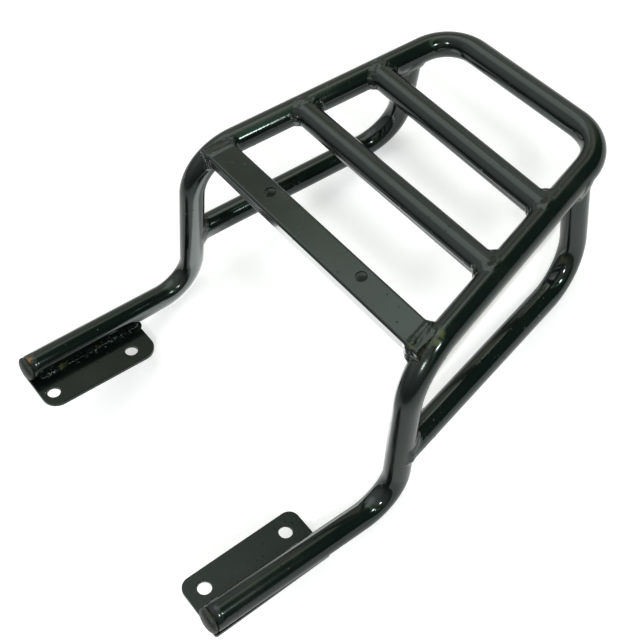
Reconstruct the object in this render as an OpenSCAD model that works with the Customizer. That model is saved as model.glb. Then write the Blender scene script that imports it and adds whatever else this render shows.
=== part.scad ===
// Rear luggage rack: one bent hoop of round tube with two side braces, a drilled box-section
// crossbar, two round crossbars and a mounting plate welded under each arm.
// Frame: origin midway between the two holes on top of the drilled crossbar,
// +X to the rider's right, +Y forward, +Z up.

/* [Tube] */
// Outside diameter of the round tube
tube_od = 19; // [17:0.5:20]
// Wall thickness of the round tube
tube_wall = 1.6; // [1.2:0.1:2.2]
// Radius by which the crossbars and braces are slimmer than the hoop
branch_relief = 0.1; // [0.1:0.05:0.4]
// Radius by which the tube swells in a bend
bend_swell = 0.03; // [0.03:0.01:0.1]

/* [Deck] */
// Distance between the two front corner points of the deck
deck_front_w = 234; // [215:1:260]
// Distance between the two rear corner points of the deck
deck_rear_w = 152; // [135:1:170]
// Distance from the front corner points back to the rear rail
deck_len = 215.5; // [205:0.5:230]
// Centreline radius of the two rear corners
corner_bend_r = 33; // [28:0.5:35]
// Centreline radius of the bend from deck to leg
front_bend_r = 43.5; // [36:0.5:46]

/* [Legs and arms] */
// Height from the arm corner point up to the deck
leg_drop = 132.5; // [120:0.5:150]
// Distance the leg leans forward over that height
leg_lean = 31; // [20:0.5:40]
// Distance between the two arm corner points
foot_w = 250.5; // [240:0.5:262]
// Centreline radius of the bend from leg to arm
foot_bend_r = 31.5; // [28:0.5:35]
// Length from the arm corner point to the open end of the left arm
arm_len = 154.5; // [150:0.5:160]
// Length by which the right arm is shorter than the left one
right_arm_cut = 5; // [0:0.5:6]
// Upward slope of the arms towards their ends
arm_rise = 13.5; // [5:0.5:20]
// Inward slope of each arm towards its end
arm_toe = 1; // [0:0.1:2]

/* [Side braces] */
// Distance down the leg from the deck corner point to the brace
brace_root = 80.5; // [74:0.5:88]
// Distance of the brace outward from the middle of the leg
brace_root_out = 2.4; // [0:0.1:3]
// Distance of the brace heel ahead of the rear rail
brace_heel_set = 43.5; // [42.5:0.5:55.5]
// Distance from the deck down to the brace heel
brace_heel_drop = 85.5; // [75:0.5:95]
// Distance between the two brace heels
brace_heel_w = 193.5; // [180:0.5:210]
// Centreline radius of the brace bend
brace_bend_r = 37; // [30:0.5:38]
// Distance of the top of the brace ahead of the rear rail
brace_head_set = 36.5; // [36:0.5:45.5]

/* [Round crossbars] */
// Distance of the middle crossbar ahead of the rear rail
middle_bar_set = 129; // [120.5:0.5:137.5]
// Distance by which its right end sits further back than the middle
middle_bar_skew = 0.5; // [0:0.1:2.5]
// Distance of the rear crossbar ahead of the rear rail
rear_bar_set = 68; // [65.5:0.5:77.5]
// Distance by which its right end sits further back than the middle
rear_bar_skew = 2.4; // [0:0.1:2.5]

/* [Drilled crossbar] */
// Depth of the box section from front to back
box_depth = 21.5; // [19:0.5:23]
// Height of the box section
box_height = 12; // [10:0.5:13]
// Wall thickness of the box section
box_wall = 1.5; // [1.2:0.1:2]
// Outside radius of the box section edges
box_edge_r = 2; // [1.6:0.1:2.4]
// Height of its top face above the deck centreline
box_rise = 9; // [8.5:0.1:9.2]
// Distance from the front corner points back to the holes
hole_back = 19.4; // [18:0.1:21]
// Distance of the holes behind the middle of the box section
hole_setback = 2; // [0:0.1:3]
// Distance between the two holes
hole_pitch = 95.5; // [80:0.5:110]
// Diameter of the two holes
hole_d = 8.5; // [6.5:0.1:9]

/* [Mounting plates] */
// Length of a plate from front to back
plate_len = 96.5; // [90:0.5:100]
// Width of a plate
plate_w = 44.5; // [43:0.5:47]
// Thickness of a plate
plate_t = 3.5; // [3:0.5:5]
// Distance by which the left plate reaches past the open end of its arm
left_plate_past = 2.5; // [1.5:0.5:4]
// Distance by which the right plate reaches past the open end of its arm
right_plate_past = 4; // [3:0.5:6]
// Radius of the two inner corners
plate_corner_r = 12; // [8:0.5:14]
// Radius of the two outer corners
plate_back_r = 2; // [1:0.5:3]
// Depth to which the arm beds into the plate
plate_bed = 0.3; // [0.2:0.05:0.5]
// Diameter of the bolt holes
plate_hole_d = 10; // [8:0.1:11]
// Distance between the holes of the left plate and those of the right plate
plate_hole_w = 197.5; // [195:0.5:200]
// Distance from the holes to the inner edge of their plate
plate_hole_edge = 12.6; // [10:0.1:14]
// Distance from the open end of the left arm back to the front hole of both plates
plate_hole_back = 10.9; // [9.5:0.1:12.5]
// Distance between the two holes of a plate
plate_hole_pitch = 68.2; // [60:0.1:72]

/* [End caps] */
// Diameter of the cap head
cap_d = 18.6; // [17.6:0.1:20]
// Length of the cap head
cap_len = 5; // [4.5:0.1:6]
// Gap between the cap head and the end of the tube
cap_gap = 0.8; // [0.4:0.1:1.2]
// Length of the plug inside the tube
plug_len = 11; // [8:0.5:14]
// Wall thickness of the plug
plug_wall = 1.6; // [1.2:0.1:2]
// Height by which the cap face is domed
cap_dome = 0.7; // [0.4:0.1:1]

/* [Weld beads] */
// Radius of the rippled weld beads
bead_r = 2.6; // [2.5:0.1:3]
// Distance between two ripples
bead_pitch = 2.8; // [2.6:0.1:3]
// Outward shift of a bead from the corner it fills
bead_fill = 0.6; // [0.4:0.1:1]
// Height of a bead where it crosses a smooth crown
bead_show = 0.8; // [0.6:0.1:1]
// Radius of the beads round the ends of the drilled crossbar
box_bead_r = 2.5; // [2.3:0.1:2.8]
// Distance between two of their ripples
box_bead_pitch = 2.9; // [2.6:0.1:3]
// Radius of the beads along the plates
plate_bead_r = 2.4; // [2:0.1:2.8]
// Distance from the end of the arm to the start of the plate bead
plate_bead_start = 7; // [5:0.5:10]
// Length of the plate bead
plate_bead_len = 82; // [60:1:84]

/* [Hidden] */
$fn = 72;
over = 1;
tube_r = tube_od / 2;
bore_r = tube_r - tube_wall;
branch_r = tube_r - branch_relief;
branch_bore_r = branch_r - tube_wall;
bend_lap = 0.8;
deck_z = -box_rise;
box_y = hole_setback;
box_z = -box_height / 2;
// Depth to which the box section bites into the flank of the rail
box_bite = 1.2;
left_arm_len = arm_len;
right_arm_len = arm_len - right_arm_cut;
left_plate_end = left_arm_len + left_plate_past;
right_plate_end = right_arm_len + right_plate_past;
plate_top = -(tube_r - plate_bed);
// Distance from the arm corner point to the front hole of both plates
plate_hole_far = arm_len - plate_hole_back;
cap_r = cap_d / 2;
cap_heel_r = 1;
cap_face_r = 2;
dome_r = (cap_r * cap_r + cap_dome * cap_dome) / (2 * cap_dome);
// Size variation of the ripples and the angle between two of its steps
ripple_swing = 0.05;
ripple_turn = 137;
// Length of a saddle line over the girth of the tube, and the part of a step it starts with
saddle_stretch = 1.2;
bar_saddle_start = 0.5;
brace_saddle_start = 0.7;
brace_heel_back = deck_len - brace_heel_set;
brace_head_back = deck_len - brace_head_set;
middle_bar_back = deck_len - middle_bar_set;
rear_bar_back = deck_len - rear_bar_set;

front_pt = [deck_front_w / 2, hole_back, deck_z];
rear_pt = [deck_rear_w / 2, hole_back - deck_len, deck_z];
foot_pt = [foot_w / 2, hole_back + leg_lean, deck_z - leg_drop];
arm_dir = [-sin(arm_toe), cos(arm_toe) * cos(arm_rise), cos(arm_toe) * sin(arm_rise)];
leg_dir = unit(foot_pt - front_pt);
rail_dir = unit(rear_pt - front_pt);
rail_plan_angle = atan2(-rail_dir.x, -rail_dir.y);
root_pt = front_pt + leg_dir * brace_root + [brace_root_out, 0, 0];
heel_pt = [brace_heel_w / 2, hole_back - brace_heel_back, deck_z - brace_heel_drop];
head_pt = rail_at(brace_head_back);
// Centre and axis of the front bend
bend_c = front_pt + leg_dir * trim(-leg_dir, rail_dir, front_bend_r)
    + unit(rail_dir - (leg_dir * rail_dir) * leg_dir) * front_bend_r;
bend_w = unit(cross(rail_dir, leg_dir));
// Height and offset at which a plate bead sinks into both the arm and the plate
plate_bead_up = plate_bead_r - bead_show;
plate_bead_in = sqrt(pow(tube_r + plate_bead_up, 2) - pow(plate_top + plate_bead_up, 2));

hoop_pts = [
    arm_end(right_arm_len),
    foot_pt,
    front_pt,
    rear_pt,
    flipped(rear_pt),
    flipped(front_pt),
    flipped(foot_pt),
    flipped(arm_end(left_arm_len))
];
hoop_bends = [0, foot_bend_r, front_bend_r, corner_bend_r, corner_bend_r, front_bend_r, foot_bend_r, 0];
brace_pts = [root_pt, heel_pt, head_pt];
brace_bends = [0, brace_bend_r, 0];

function unit(v) = v / norm(v);
function flipped(p) = [-p.x, p.y, p.z];
function arm_end(arm_len) = foot_pt + arm_len * arm_dir;
function rail_at(back) = front_pt + (rear_pt - front_pt) * back / deck_len;
function turn(u, v) = acos(u * v);
function trim(u, v, r) = r * tan(turn(u, v) / 2);
function run_dir(pts, i) = unit(pts[i + 1] - pts[i]);
function trim_at(pts, bends, i) =
    bends[i] == 0 ? 0 : trim(run_dir(pts, i - 1), run_dir(pts, i), bends[i]);
function ripple(i) = 1 + ripple_swing * sin(i * ripple_turn);

// Straight round bar between two points
module rod(a, b, r) {
    d = b - a;
    translate(a)
        rotate([0, acos(d.z / norm(d)), atan2(d.y, d.x)])
            cylinder(h = norm(d), r = r);
}

// Round bar bent from direction u to direction v about the corner point p
module elbow(p, u, v, bend_r, r) {
    n = unit(v - (u * v) * u);
    w = cross(-n, u);
    c = p - u * trim(u, v, bend_r) + n * bend_r;
    multmatrix([
        [-n.x, u.x, w.x, c.x],
        [-n.y, u.y, w.y, c.y],
        [-n.z, u.z, w.z, c.z],
        [0, 0, 0, 1]
    ])
        rotate_extrude(angle = turn(u, v))
            translate([bend_r, 0])
                circle(r = r);
}

// Round bar along a chain of points, longer by the given amount at both open ends.
// Each straight length laps a little way into the swollen bends next to it.
module bent_rod(pts, bends, r, longer = 0) {
    last = len(pts) - 1;
    for (i = [0 : last - 1])
        rod(
            pts[i] + run_dir(pts, i) * (i == 0 ? -longer : trim_at(pts, bends, i) - bend_lap),
            pts[i + 1] - run_dir(pts, i) * (i + 1 == last ? -longer : trim_at(pts, bends, i + 1) - bend_lap),
            r
        );
    for (i = [1 : last - 1])
        elbow(pts[i], run_dir(pts, i - 1), run_dir(pts, i), bends[i], r + bend_swell);
}

module both_sides() {
    children();
    mirror([1, 0, 0])
        children();
}

module left_side() {
    mirror([1, 0, 0])
        children();
}

// Outer bodies of the hoop where other members meet it, right side
module rail_body() {
    rod(front_pt, rear_pt, tube_r);
}

module leg_body() {
    rod(front_pt, foot_pt, tube_r);
}

module front_bend_body() {
    elbow(front_pt, -leg_dir, rail_dir, front_bend_r, tube_r + bend_swell);
}

module rear_bend_body() {
    elbow(rear_pt, rail_dir, [-1, 0, 0], corner_bend_r, tube_r + bend_swell);
}

module paint() {
    color([0.05, 0.06, 0.055])
        children();
}

module rubber() {
    color([0.08, 0.08, 0.08])
        children();
}

module main_hoop() {
    paint()
        difference() {
            bent_rod(hoop_pts, hoop_bends, tube_r);
            bent_rod(hoop_pts, hoop_bends, bore_r, over);
        }
}

module brace() {
    paint()
        difference() {
            bent_rod(brace_pts, brace_bends, branch_r);
            bent_rod(brace_pts, brace_bends, branch_bore_r, over);
            leg_body();
            rail_body();
        }
}

module round_crossbar(left_back, right_back) {
    left_end = flipped(rail_at(left_back));
    right_end = rail_at(right_back);
    paint()
        difference() {
            rod(left_end, right_end, branch_r);
            rod(left_end - [over, 0, 0], right_end + [over, 0, 0], branch_bore_r);
            both_sides()
                rail_body();
        }
}

module middle_crossbar() {
    round_crossbar(middle_bar_back - middle_bar_skew, middle_bar_back + middle_bar_skew);
}

module rear_crossbar() {
    round_crossbar(rear_bar_back - rear_bar_skew, rear_bar_back + rear_bar_skew);
}

module rounded_rect(w, h, r) {
    square([w - 2 * r, h], center = true);
    square([w, h - 2 * r], center = true);
    for (sx = [-1, 1], sy = [-1, 1])
        translate([sx * (w / 2 - r), sy * (h / 2 - r)])
            circle(r = r);
}

// Box section along X, running from side to side
module box_run(depth, height, edge_r, length) {
    translate([0, box_y, box_z])
        rotate([90, 0, 90])
            linear_extrude(height = length, center = true)
                rounded_rect(depth, height, edge_r);
}

// Space outside the rail's inner flank, right side, with the box biting into the flank
module beyond_rail() {
    translate([front_pt.x, front_pt.y, deck_z])
        rotate([0, 0, -rail_plan_angle])
            translate([-(tube_r - box_bite), -deck_len, -deck_len / 2])
                cube([deck_len, 2 * deck_len, deck_len]);
}

// Outer body of the box section, cut to length along the rail on the right
module box_body() {
    difference() {
        box_run(box_depth, box_height, box_edge_r, deck_front_w);
        beyond_rail();
    }
}

module front_crossbar() {
    paint()
        difference() {
            box_run(box_depth, box_height, box_edge_r, deck_front_w);
            box_run(box_depth - 2 * box_wall, box_height - 2 * box_wall, box_edge_r - box_wall, deck_front_w + over);
            both_sides() {
                beyond_rail();
                front_bend_body();
            }
            for (sx = [-1, 1])
                translate([sx * hole_pitch / 2, 0, -box_wall - over])
                    cylinder(h = box_wall + 2 * over, d = hole_d);
        }
}

// Frame at the corner point of the right arm, sloped like the arm: +Y forward, +X outward
module on_slope() {
    translate(foot_pt)
        rotate([arm_rise, 0, 0])
            children();
}

// Frame of the right arm at a distance from its corner point: +Y out along the arm
module on_arm(along) {
    on_slope()
        rotate([0, 0, arm_toe])
            translate([0, along, 0])
                children();
}

// Outer body of the straight arm, carried on past its open end
module arm_body() {
    on_arm(0)
        rotate([-90, 0, 0])
            cylinder(h = left_arm_len + right_arm_len, r = tube_r);
}

module corner_cut(r) {
    difference() {
        translate([-over, -over])
            square([r + over, r + over]);
        translate([r, r])
            circle(r = r);
    }
}

module plate_outline() {
    difference() {
        square([plate_w, plate_len]);
        corner_cut(plate_corner_r);
        translate([0, plate_len])
            mirror([0, 1])
                corner_cut(plate_corner_r);
        translate([plate_w, 0])
            mirror([1, 0])
                corner_cut(plate_back_r);
        translate([plate_w, plate_len])
            mirror([1, 0])
                mirror([0, 1])
                    corner_cut(plate_back_r);
    }
}

// Frame on top of the right plate, at its inner rear corner
module on_plate(plate_end) {
    on_slope()
        translate([(plate_hole_w - foot_w) / 2 - plate_hole_edge, plate_end - plate_len, plate_top])
            children();
}

module mounting_plate(plate_end) {
    paint()
        difference() {
            on_plate(plate_end)
                translate([0, 0, -plate_t])
                    linear_extrude(height = plate_t)
                        plate_outline();
            arm_body();
            for (along = [plate_hole_far - plate_hole_pitch, plate_hole_far])
                on_plate(along + plate_len)
                    translate([plate_hole_edge, 0, -plate_t - over])
                        cylinder(h = plate_t + 2 * over, d = plate_hole_d);
        }
}

module cap_head_profile() {
    translate([0, cap_gap]) {
        square([cap_r - cap_face_r, cap_len]);
        square([cap_r - cap_heel_r, cap_len - cap_face_r]);
        translate([0, cap_heel_r])
            square([cap_r, cap_len - cap_heel_r - cap_face_r]);
        translate([cap_r - cap_heel_r, cap_heel_r])
            circle(r = cap_heel_r);
        translate([cap_r - cap_face_r, cap_len - cap_face_r])
            circle(r = cap_face_r);
    }
}

module plug_profile() {
    difference() {
        polygon([
            [0, -plug_len],
            [bore_r - plug_wall / 2, -plug_len],
            [bore_r, -plug_len + plug_wall],
            [bore_r, cap_gap + cap_heel_r],
            [0, cap_gap + cap_heel_r]
        ]);
        translate([-over, -plug_len - over])
            square([bore_r - plug_wall + over, plug_len + over - cap_gap]);
    }
}

module end_cap(arm_len) {
    rubber()
        on_arm(arm_len)
            rotate([-90, 0, 0]) {
                intersection() {
                    rotate_extrude()
                        cap_head_profile();
                    translate([0, 0, cap_gap + cap_len - dome_r])
                        sphere(r = dome_r);
                }
                rotate_extrude()
                    plug_profile();
            }
}

// Centre of one ripple at angle t round a branch tube, on the saddle line where it meets a run.
// The branch axis leaves p in direction a, the run axis passes through o in direction b.
function saddle_centre(p, a, o, b, t) =
    let(
        n = unit(cross(a, b)),
        c = branch_r * (n * cos(t) + cross(n, a) * sin(t)),
        w = p + c - o - ((p + c - o) * b) * b,
        v = a - (a * b) * b,
        s = (sqrt(max(pow(w * v, 2) - (v * v) * (w * w - tube_r * tube_r), 0)) - w * v) / (v * v),
        run_n = unit(w + s * v),
        branch_n = unit(c),
        sink = max(run_n * branch_n, 0)
    )
    p + c + s * a + unit(run_n + branch_n) * (bead_fill - sink * (bead_fill + bead_r - bead_show));

module bead(centres, r) {
    for (i = [0 : len(centres) - 1])
        translate(centres[i])
            sphere(r = r * ripple(i));
}

// Bead all round the saddle line, less the two tubes that it joins
module saddle_weld(p, a, o, b, length, start) {
    count = ceil(2 * PI * tube_r * saddle_stretch / bead_pitch);
    paint()
        difference() {
            bead([for (i = [0 : count - 1]) saddle_centre(p, a, o, b, (i + start) * 360 / count)], bead_r);
            rod(o - b * length, o + b * length, tube_r);
            rod(p, p + a * length, branch_r);
        }
}

module crossbar_weld(here, there) {
    p = rail_at(here);
    saddle_weld(p, unit(flipped(rail_at(there)) - p), p, rail_dir, tube_od, bar_saddle_start);
}

module middle_crossbar_weld(side) {
    crossbar_weld(middle_bar_back + side * middle_bar_skew, middle_bar_back - side * middle_bar_skew);
}

module rear_crossbar_weld(side) {
    crossbar_weld(rear_bar_back + side * rear_bar_skew, rear_bar_back - side * rear_bar_skew);
}

module brace_root_weld() {
    saddle_weld(
        root_pt,
        unit(heel_pt - root_pt),
        front_pt + leg_dir * brace_root,
        leg_dir,
        tube_od,
        brace_saddle_start
    );
}

module brace_head_weld() {
    difference() {
        saddle_weld(head_pt, unit(heel_pt - head_pt), head_pt, rail_dir, tube_od, brace_saddle_start);
        rear_bend_body();
    }
}

// Nearest point on the centreline of the front bend
function bend_axis_pt(q) = bend_c + front_bend_r * unit(q - bend_c - ((q - bend_c) * bend_w) * bend_w);

// Ripple centres round the end of the box section, a little below its faces
function box_end_x(y) =
    front_pt.x - (front_pt.y - y) * tan(rail_plan_angle) - (tube_r + bead_fill) / cos(rail_plan_angle);
function box_ring() =
    let(
        sink = box_bead_r - bead_show,
        y0 = box_y - box_depth / 2 + sink - bead_show,
        y1 = box_y + box_depth / 2 - sink + bead_show,
        z1 = -sink,
        z0 = -box_height + sink - bead_show,
        across = ceil((y1 - y0) / box_bead_pitch),
        down = ceil((z1 - z0) / box_bead_pitch)
    )
    concat(
        [for (i = [0 : across]) [y0 + (y1 - y0) * i / across, z1]],
        [for (i = [1 : down]) [y1, z1 + (z0 - z1) * i / down]],
        [for (i = [1 : across]) [y1 + (y0 - y1) * i / across, z0]],
        [for (i = [1 : down - 1]) [y0, z0 + (z1 - z0) * i / down]]
    );

// From each ripple of the ring, more ripples lead down to the falling bend where it stands off
function box_bead_centres() = [
    for (ring = box_ring())
        let(
            q = [box_end_x(ring[0]), ring[0], ring[1]],
            axis = bend_axis_pt(q),
            steps = max(floor((norm(axis - q) - tube_r) / box_bead_pitch), 0)
        )
        for (k = [0 : steps])
            q + unit(axis - q) * box_bead_pitch * k
];

module front_crossbar_weld() {
    paint()
        difference() {
            bead(box_bead_centres(), box_bead_r);
            front_bend_body();
            box_body();
        }
}

// Bead along the inner side of an arm, in the corner above its plate
module plate_weld(arm_len, plate_end) {
    count = floor(plate_bead_len / bead_pitch);
    paint()
        difference() {
            on_arm(arm_len - plate_bead_start)
                rotate([90, 0, 0])
                    bead(
                        [for (i = [0 : count]) [-plate_bead_in, plate_top + plate_bead_up, plate_bead_len * i / count]],
                        plate_bead_r
                    );
            arm_body();
            on_plate(plate_end)
                translate([0, 0, -plate_t])
                    cube([plate_w, plate_len, plate_t]);
        }
}

main_hoop();
left_side() brace();  // left_brace
brace();  // right_brace
front_crossbar();
middle_crossbar();
rear_crossbar();
left_side() mounting_plate(left_plate_end);  // left_mounting_plate
mounting_plate(right_plate_end);  // right_mounting_plate
left_side() end_cap(left_arm_len);  // left_end_cap
end_cap(right_arm_len);  // right_end_cap
left_side() front_crossbar_weld();  // front_crossbar_weld_left
front_crossbar_weld();  // front_crossbar_weld_right
left_side() middle_crossbar_weld(-1);  // middle_crossbar_weld_left
middle_crossbar_weld(1);  // middle_crossbar_weld_right
left_side() rear_crossbar_weld(-1);  // rear_crossbar_weld_left
rear_crossbar_weld(1);  // rear_crossbar_weld_right
left_side() brace_root_weld();  // brace_root_weld_left
brace_root_weld();  // brace_root_weld_right
left_side() brace_head_weld();  // brace_head_weld_left
brace_head_weld();  // brace_head_weld_right
left_side() plate_weld(left_arm_len, left_plate_end);  // plate_weld_left
plate_weld(right_arm_len, right_plate_end);  // plate_weld_right
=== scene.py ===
import logging
import math
from dataclasses import dataclass, field
from enum import Enum

import bpy
import numpy as np
from mathutils import Matrix, Vector

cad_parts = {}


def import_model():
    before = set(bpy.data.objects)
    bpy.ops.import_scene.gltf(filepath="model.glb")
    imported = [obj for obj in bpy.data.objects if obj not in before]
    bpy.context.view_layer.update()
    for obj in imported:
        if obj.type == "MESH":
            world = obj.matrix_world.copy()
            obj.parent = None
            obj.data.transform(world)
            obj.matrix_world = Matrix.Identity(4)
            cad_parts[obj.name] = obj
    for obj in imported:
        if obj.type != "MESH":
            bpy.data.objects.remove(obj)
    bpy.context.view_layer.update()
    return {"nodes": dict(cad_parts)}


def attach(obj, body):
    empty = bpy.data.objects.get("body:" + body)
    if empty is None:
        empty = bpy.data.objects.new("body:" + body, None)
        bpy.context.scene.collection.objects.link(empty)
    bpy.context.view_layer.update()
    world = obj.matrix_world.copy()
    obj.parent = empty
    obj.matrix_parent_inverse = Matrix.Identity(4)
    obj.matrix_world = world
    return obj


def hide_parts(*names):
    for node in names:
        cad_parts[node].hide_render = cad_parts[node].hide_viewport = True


log = logging.getLogger("rack")
MM = 0.001


def unit(v: np.ndarray) -> np.ndarray:
    """Vector v brought to length one."""
    return np.asarray(v, float) / np.linalg.norm(v)


def smoothstep(low: float, high: float, x: np.ndarray) -> np.ndarray:
    """Smooth rise from 0 at low to 1 at high."""
    t = np.clip((x - low) / (high - low), 0, 1)
    return t * t * (3 - 2 * t)


class Side(Enum):
    """Side of the motorcycle, with the sign of its X."""

    LEFT = -1
    RIGHT = 1

    @property
    def word(self) -> str:
        """The word that stands in node names."""
        return self.name.lower()

    def of(self, p: np.ndarray) -> np.ndarray:
        """A right-side point or direction brought to this side."""
        return np.asarray(p, float) * [self.value, 1, 1]


# Shader and geometry graphs


class Wire:
    """An output socket that takes part in arithmetic; each expression adds its Math node."""

    def __init__(self, graph: "Graph", socket: bpy.types.NodeSocket) -> None:
        """Wrap a socket.

        Args:
            graph: graph that the socket's node belongs to.
            socket: output socket.
        """
        self.graph = graph
        self.socket = socket

    def _math(self, operation: str, first: object, second: object = None, third: object = None) -> "Wire":
        """Math node on two or three values or wires."""
        inputs = {i: v for i, v in enumerate((first, second, third)) if v is not None}
        return self.graph.add(self.graph.math, {"operation": operation}, inputs)

    def __add__(self, other: object) -> "Wire":
        """Sum."""
        return self._math("ADD", self, other)

    def __radd__(self, other: object) -> "Wire":
        """Sum with a number on the left."""
        return self._math("ADD", other, self)

    def __sub__(self, other: object) -> "Wire":
        """Difference."""
        return self._math("SUBTRACT", self, other)

    def __rsub__(self, other: object) -> "Wire":
        """Difference from a number on the left."""
        return self._math("SUBTRACT", other, self)

    def __mul__(self, other: object) -> "Wire":
        """Product."""
        return self._math("MULTIPLY", self, other)

    def __rmul__(self, other: object) -> "Wire":
        """Product with a number on the left."""
        return self._math("MULTIPLY", other, self)

    def __truediv__(self, other: object) -> "Wire":
        """Quotient."""
        return self._math("DIVIDE", self, other)

    def __pow__(self, other: object) -> "Wire":
        """Power."""
        return self._math("POWER", self, other)

    def top(self, other: object) -> "Wire":
        """The larger of this and another value."""
        return self._math("MAXIMUM", self, other)

    def low(self, other: object) -> "Wire":
        """The smaller of this and another value."""
        return self._math("MINIMUM", self, other)

    def rise(self, low: float, high: float) -> "Wire":
        """Smooth step from 0 at low to 1 at high.

        Args:
            low: value that gives 0.
            high: value that gives 1.

        Returns:
            The stepped value.
        """
        settings = {"interpolation_type": "SMOOTHSTEP"}
        inputs = {"Value": self, "From Min": low, "From Max": high}
        return self.graph.add("ShaderNodeMapRange", settings, inputs)

    def below(self, limit: object) -> "Wire":
        """1 where this is less than a limit, otherwise 0."""
        return self._math("LESS_THAN", self, limit)


class Graph:
    """A node tree that is filled through one method."""

    math = "ShaderNodeMath"

    def __init__(self, tree: bpy.types.NodeTree) -> None:
        """Start on an emptied tree.

        Args:
            tree: material, world or geometry node tree.
        """
        self.tree = tree
        tree.nodes.clear()

    def add(
        self, kind: str, settings: dict | None = None, inputs: dict | None = None, out: object = 0
    ) -> Wire:
        """Add any node.

        Args:
            kind: the node's type name.
            settings: its properties.
            inputs: values or wires by socket name or place.
            out: name or place of the output that is returned.

        Returns:
            The wire of that output.
        """
        node = self.tree.nodes.new(kind)
        for key, value in (settings or {}).items():
            setattr(node, key, value)
        for key, value in (inputs or {}).items():
            if isinstance(value, Wire):
                self.tree.links.new(value.socket, node.inputs[key])
            else:
                node.inputs[key].default_value = value
        return Wire(self, node.outputs[out]) if node.outputs else Wire(self, None)

    def blend(self, factor: object, a: object, b: object) -> Wire:
        """Mix of two colours.

        Args:
            factor: share of b.
            a: first colour.
            b: second colour.

        Returns:
            The mixed colour.
        """
        return self.add("ShaderNodeMix", {"data_type": "RGBA"}, {0: factor, 6: a, 7: b}, 2)

    def vector(
        self, operation: str, a: object, b: object = None, scale: object = None, out: object = 0
    ) -> Wire:
        """Vector Math node.

        Args:
            operation: its operation.
            a: first vector.
            b: second vector.
            scale: number for SCALE.
            out: output place or name.

        Returns:
            The wire of that output.
        """
        inputs = {0: a}
        if b is not None:
            inputs[1] = b
        if scale is not None:
            inputs["Scale"] = scale
        return self.add("ShaderNodeVectorMath", {"operation": operation}, inputs, out)

    def gap(self, a: object, b: object) -> Wire:
        """Distance between two places."""
        return self.vector("DISTANCE", a, b, out="Value")

    def dot(self, a: object, b: object) -> Wire:
        """Dot product of two vectors."""
        return self.vector("DOT_PRODUCT", a, b, out="Value")

    def axis(self, vector: Wire, number: int) -> Wire:
        """One coordinate of a vector."""
        return self.add("ShaderNodeSeparateXYZ", {}, {0: vector}, number)

    def noise(self, place: Wire, scale: float, detail: float, rough: float) -> Wire:
        """Noise texture.

        Args:
            place: where it is read.
            scale: how many bumps there are in a metre.
            detail: number of finer layers.
            rough: strength of the finer layers.

        Returns:
            Its value from 0 to 1.
        """
        inputs = {"Vector": place, "Scale": scale, "Detail": detail, "Roughness": rough}
        return self.add("ShaderNodeTexNoise", {}, inputs)


# Finishes


@dataclass(frozen=True)
class Stain:
    """A place where something shows through or lies on the paint, or a patch of painted sheen."""

    centre: tuple[float, float, float]
    reach: float
    colour: tuple[float, float, float, float]
    strength: float = 1.0


TAN = (0.30, 0.17, 0.065, 1)
BROWN = (0.06, 0.028, 0.012, 1)
MOSS = (0.095, 0.105, 0.022, 1)
# Olive-grey painted sheen: stands in for the reflection on the crest of the left front bend beside the
# drilled crossbar's weld
PAINTED_SHEEN_OLIVE = (0.050, 0.056, 0.034, 1)

# Stained spots by finish, seen in the photo; the olive-grey entries among them are painted sheen
TUBE_STAINS_AND_SHEEN = (
    Stain((0.1235, 0.1965, -0.0966), 0.0080, TAN, 0.8),
    Stain((0.1275, 0.1900, -0.0990), 0.0045, BROWN, 0.9),
    Stain((0.1215, 0.1990, -0.1040), 0.0035, BROWN),
    Stain((-0.1128, -0.0080, -0.0002), 0.0034, MOSS, 0.45),
    Stain((-0.1148, -0.0020, -0.0006), 0.0036, MOSS, 0.5),
    # Painted sheen on the crest of the left front bend, in place of its reflection
    Stain((-0.1108, -0.0030, -0.0012), 0.0042, PAINTED_SHEEN_OLIVE, 0.6),
    Stain((-0.1118, 0.0020, -0.0024), 0.0046, PAINTED_SHEEN_OLIVE, 0.6),
    Stain((-0.1114, 0.0070, -0.0042), 0.0046, PAINTED_SHEEN_OLIVE, 0.55),
    Stain((-0.1100, 0.0115, -0.0078), 0.0046, PAINTED_SHEEN_OLIVE, 0.45),
    Stain((-0.1280, 0.1425, -0.1107), 0.0013, BROWN),
)
BRACE_STAINS = (
    Stain((-0.1009, -0.1174, -0.0838), 0.0030, MOSS, 0.25),
    Stain((-0.0960, -0.1410, -0.0720), 0.0050, MOSS, 0.22),
)
BOX_STAINS = (Stain((-0.1040, 0.0080, 0.0000), 0.0030, MOSS, 0.4),)
PLATE_STAINS = (
    Stain((0.1118, 0.1765, -0.1176), 0.0030, MOSS, 0.9),
    Stain((0.1118, 0.1722, -0.1186), 0.0026, MOSS, 0.7),
    Stain((0.1122, 0.1445, -0.1252), 0.0030, MOSS, 0.9),
    Stain((0.1122, 0.1400, -0.1264), 0.0026, MOSS, 0.7),
    Stain((-0.1055, 0.1778, -0.1204), 0.0010, BROWN),
)
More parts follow.
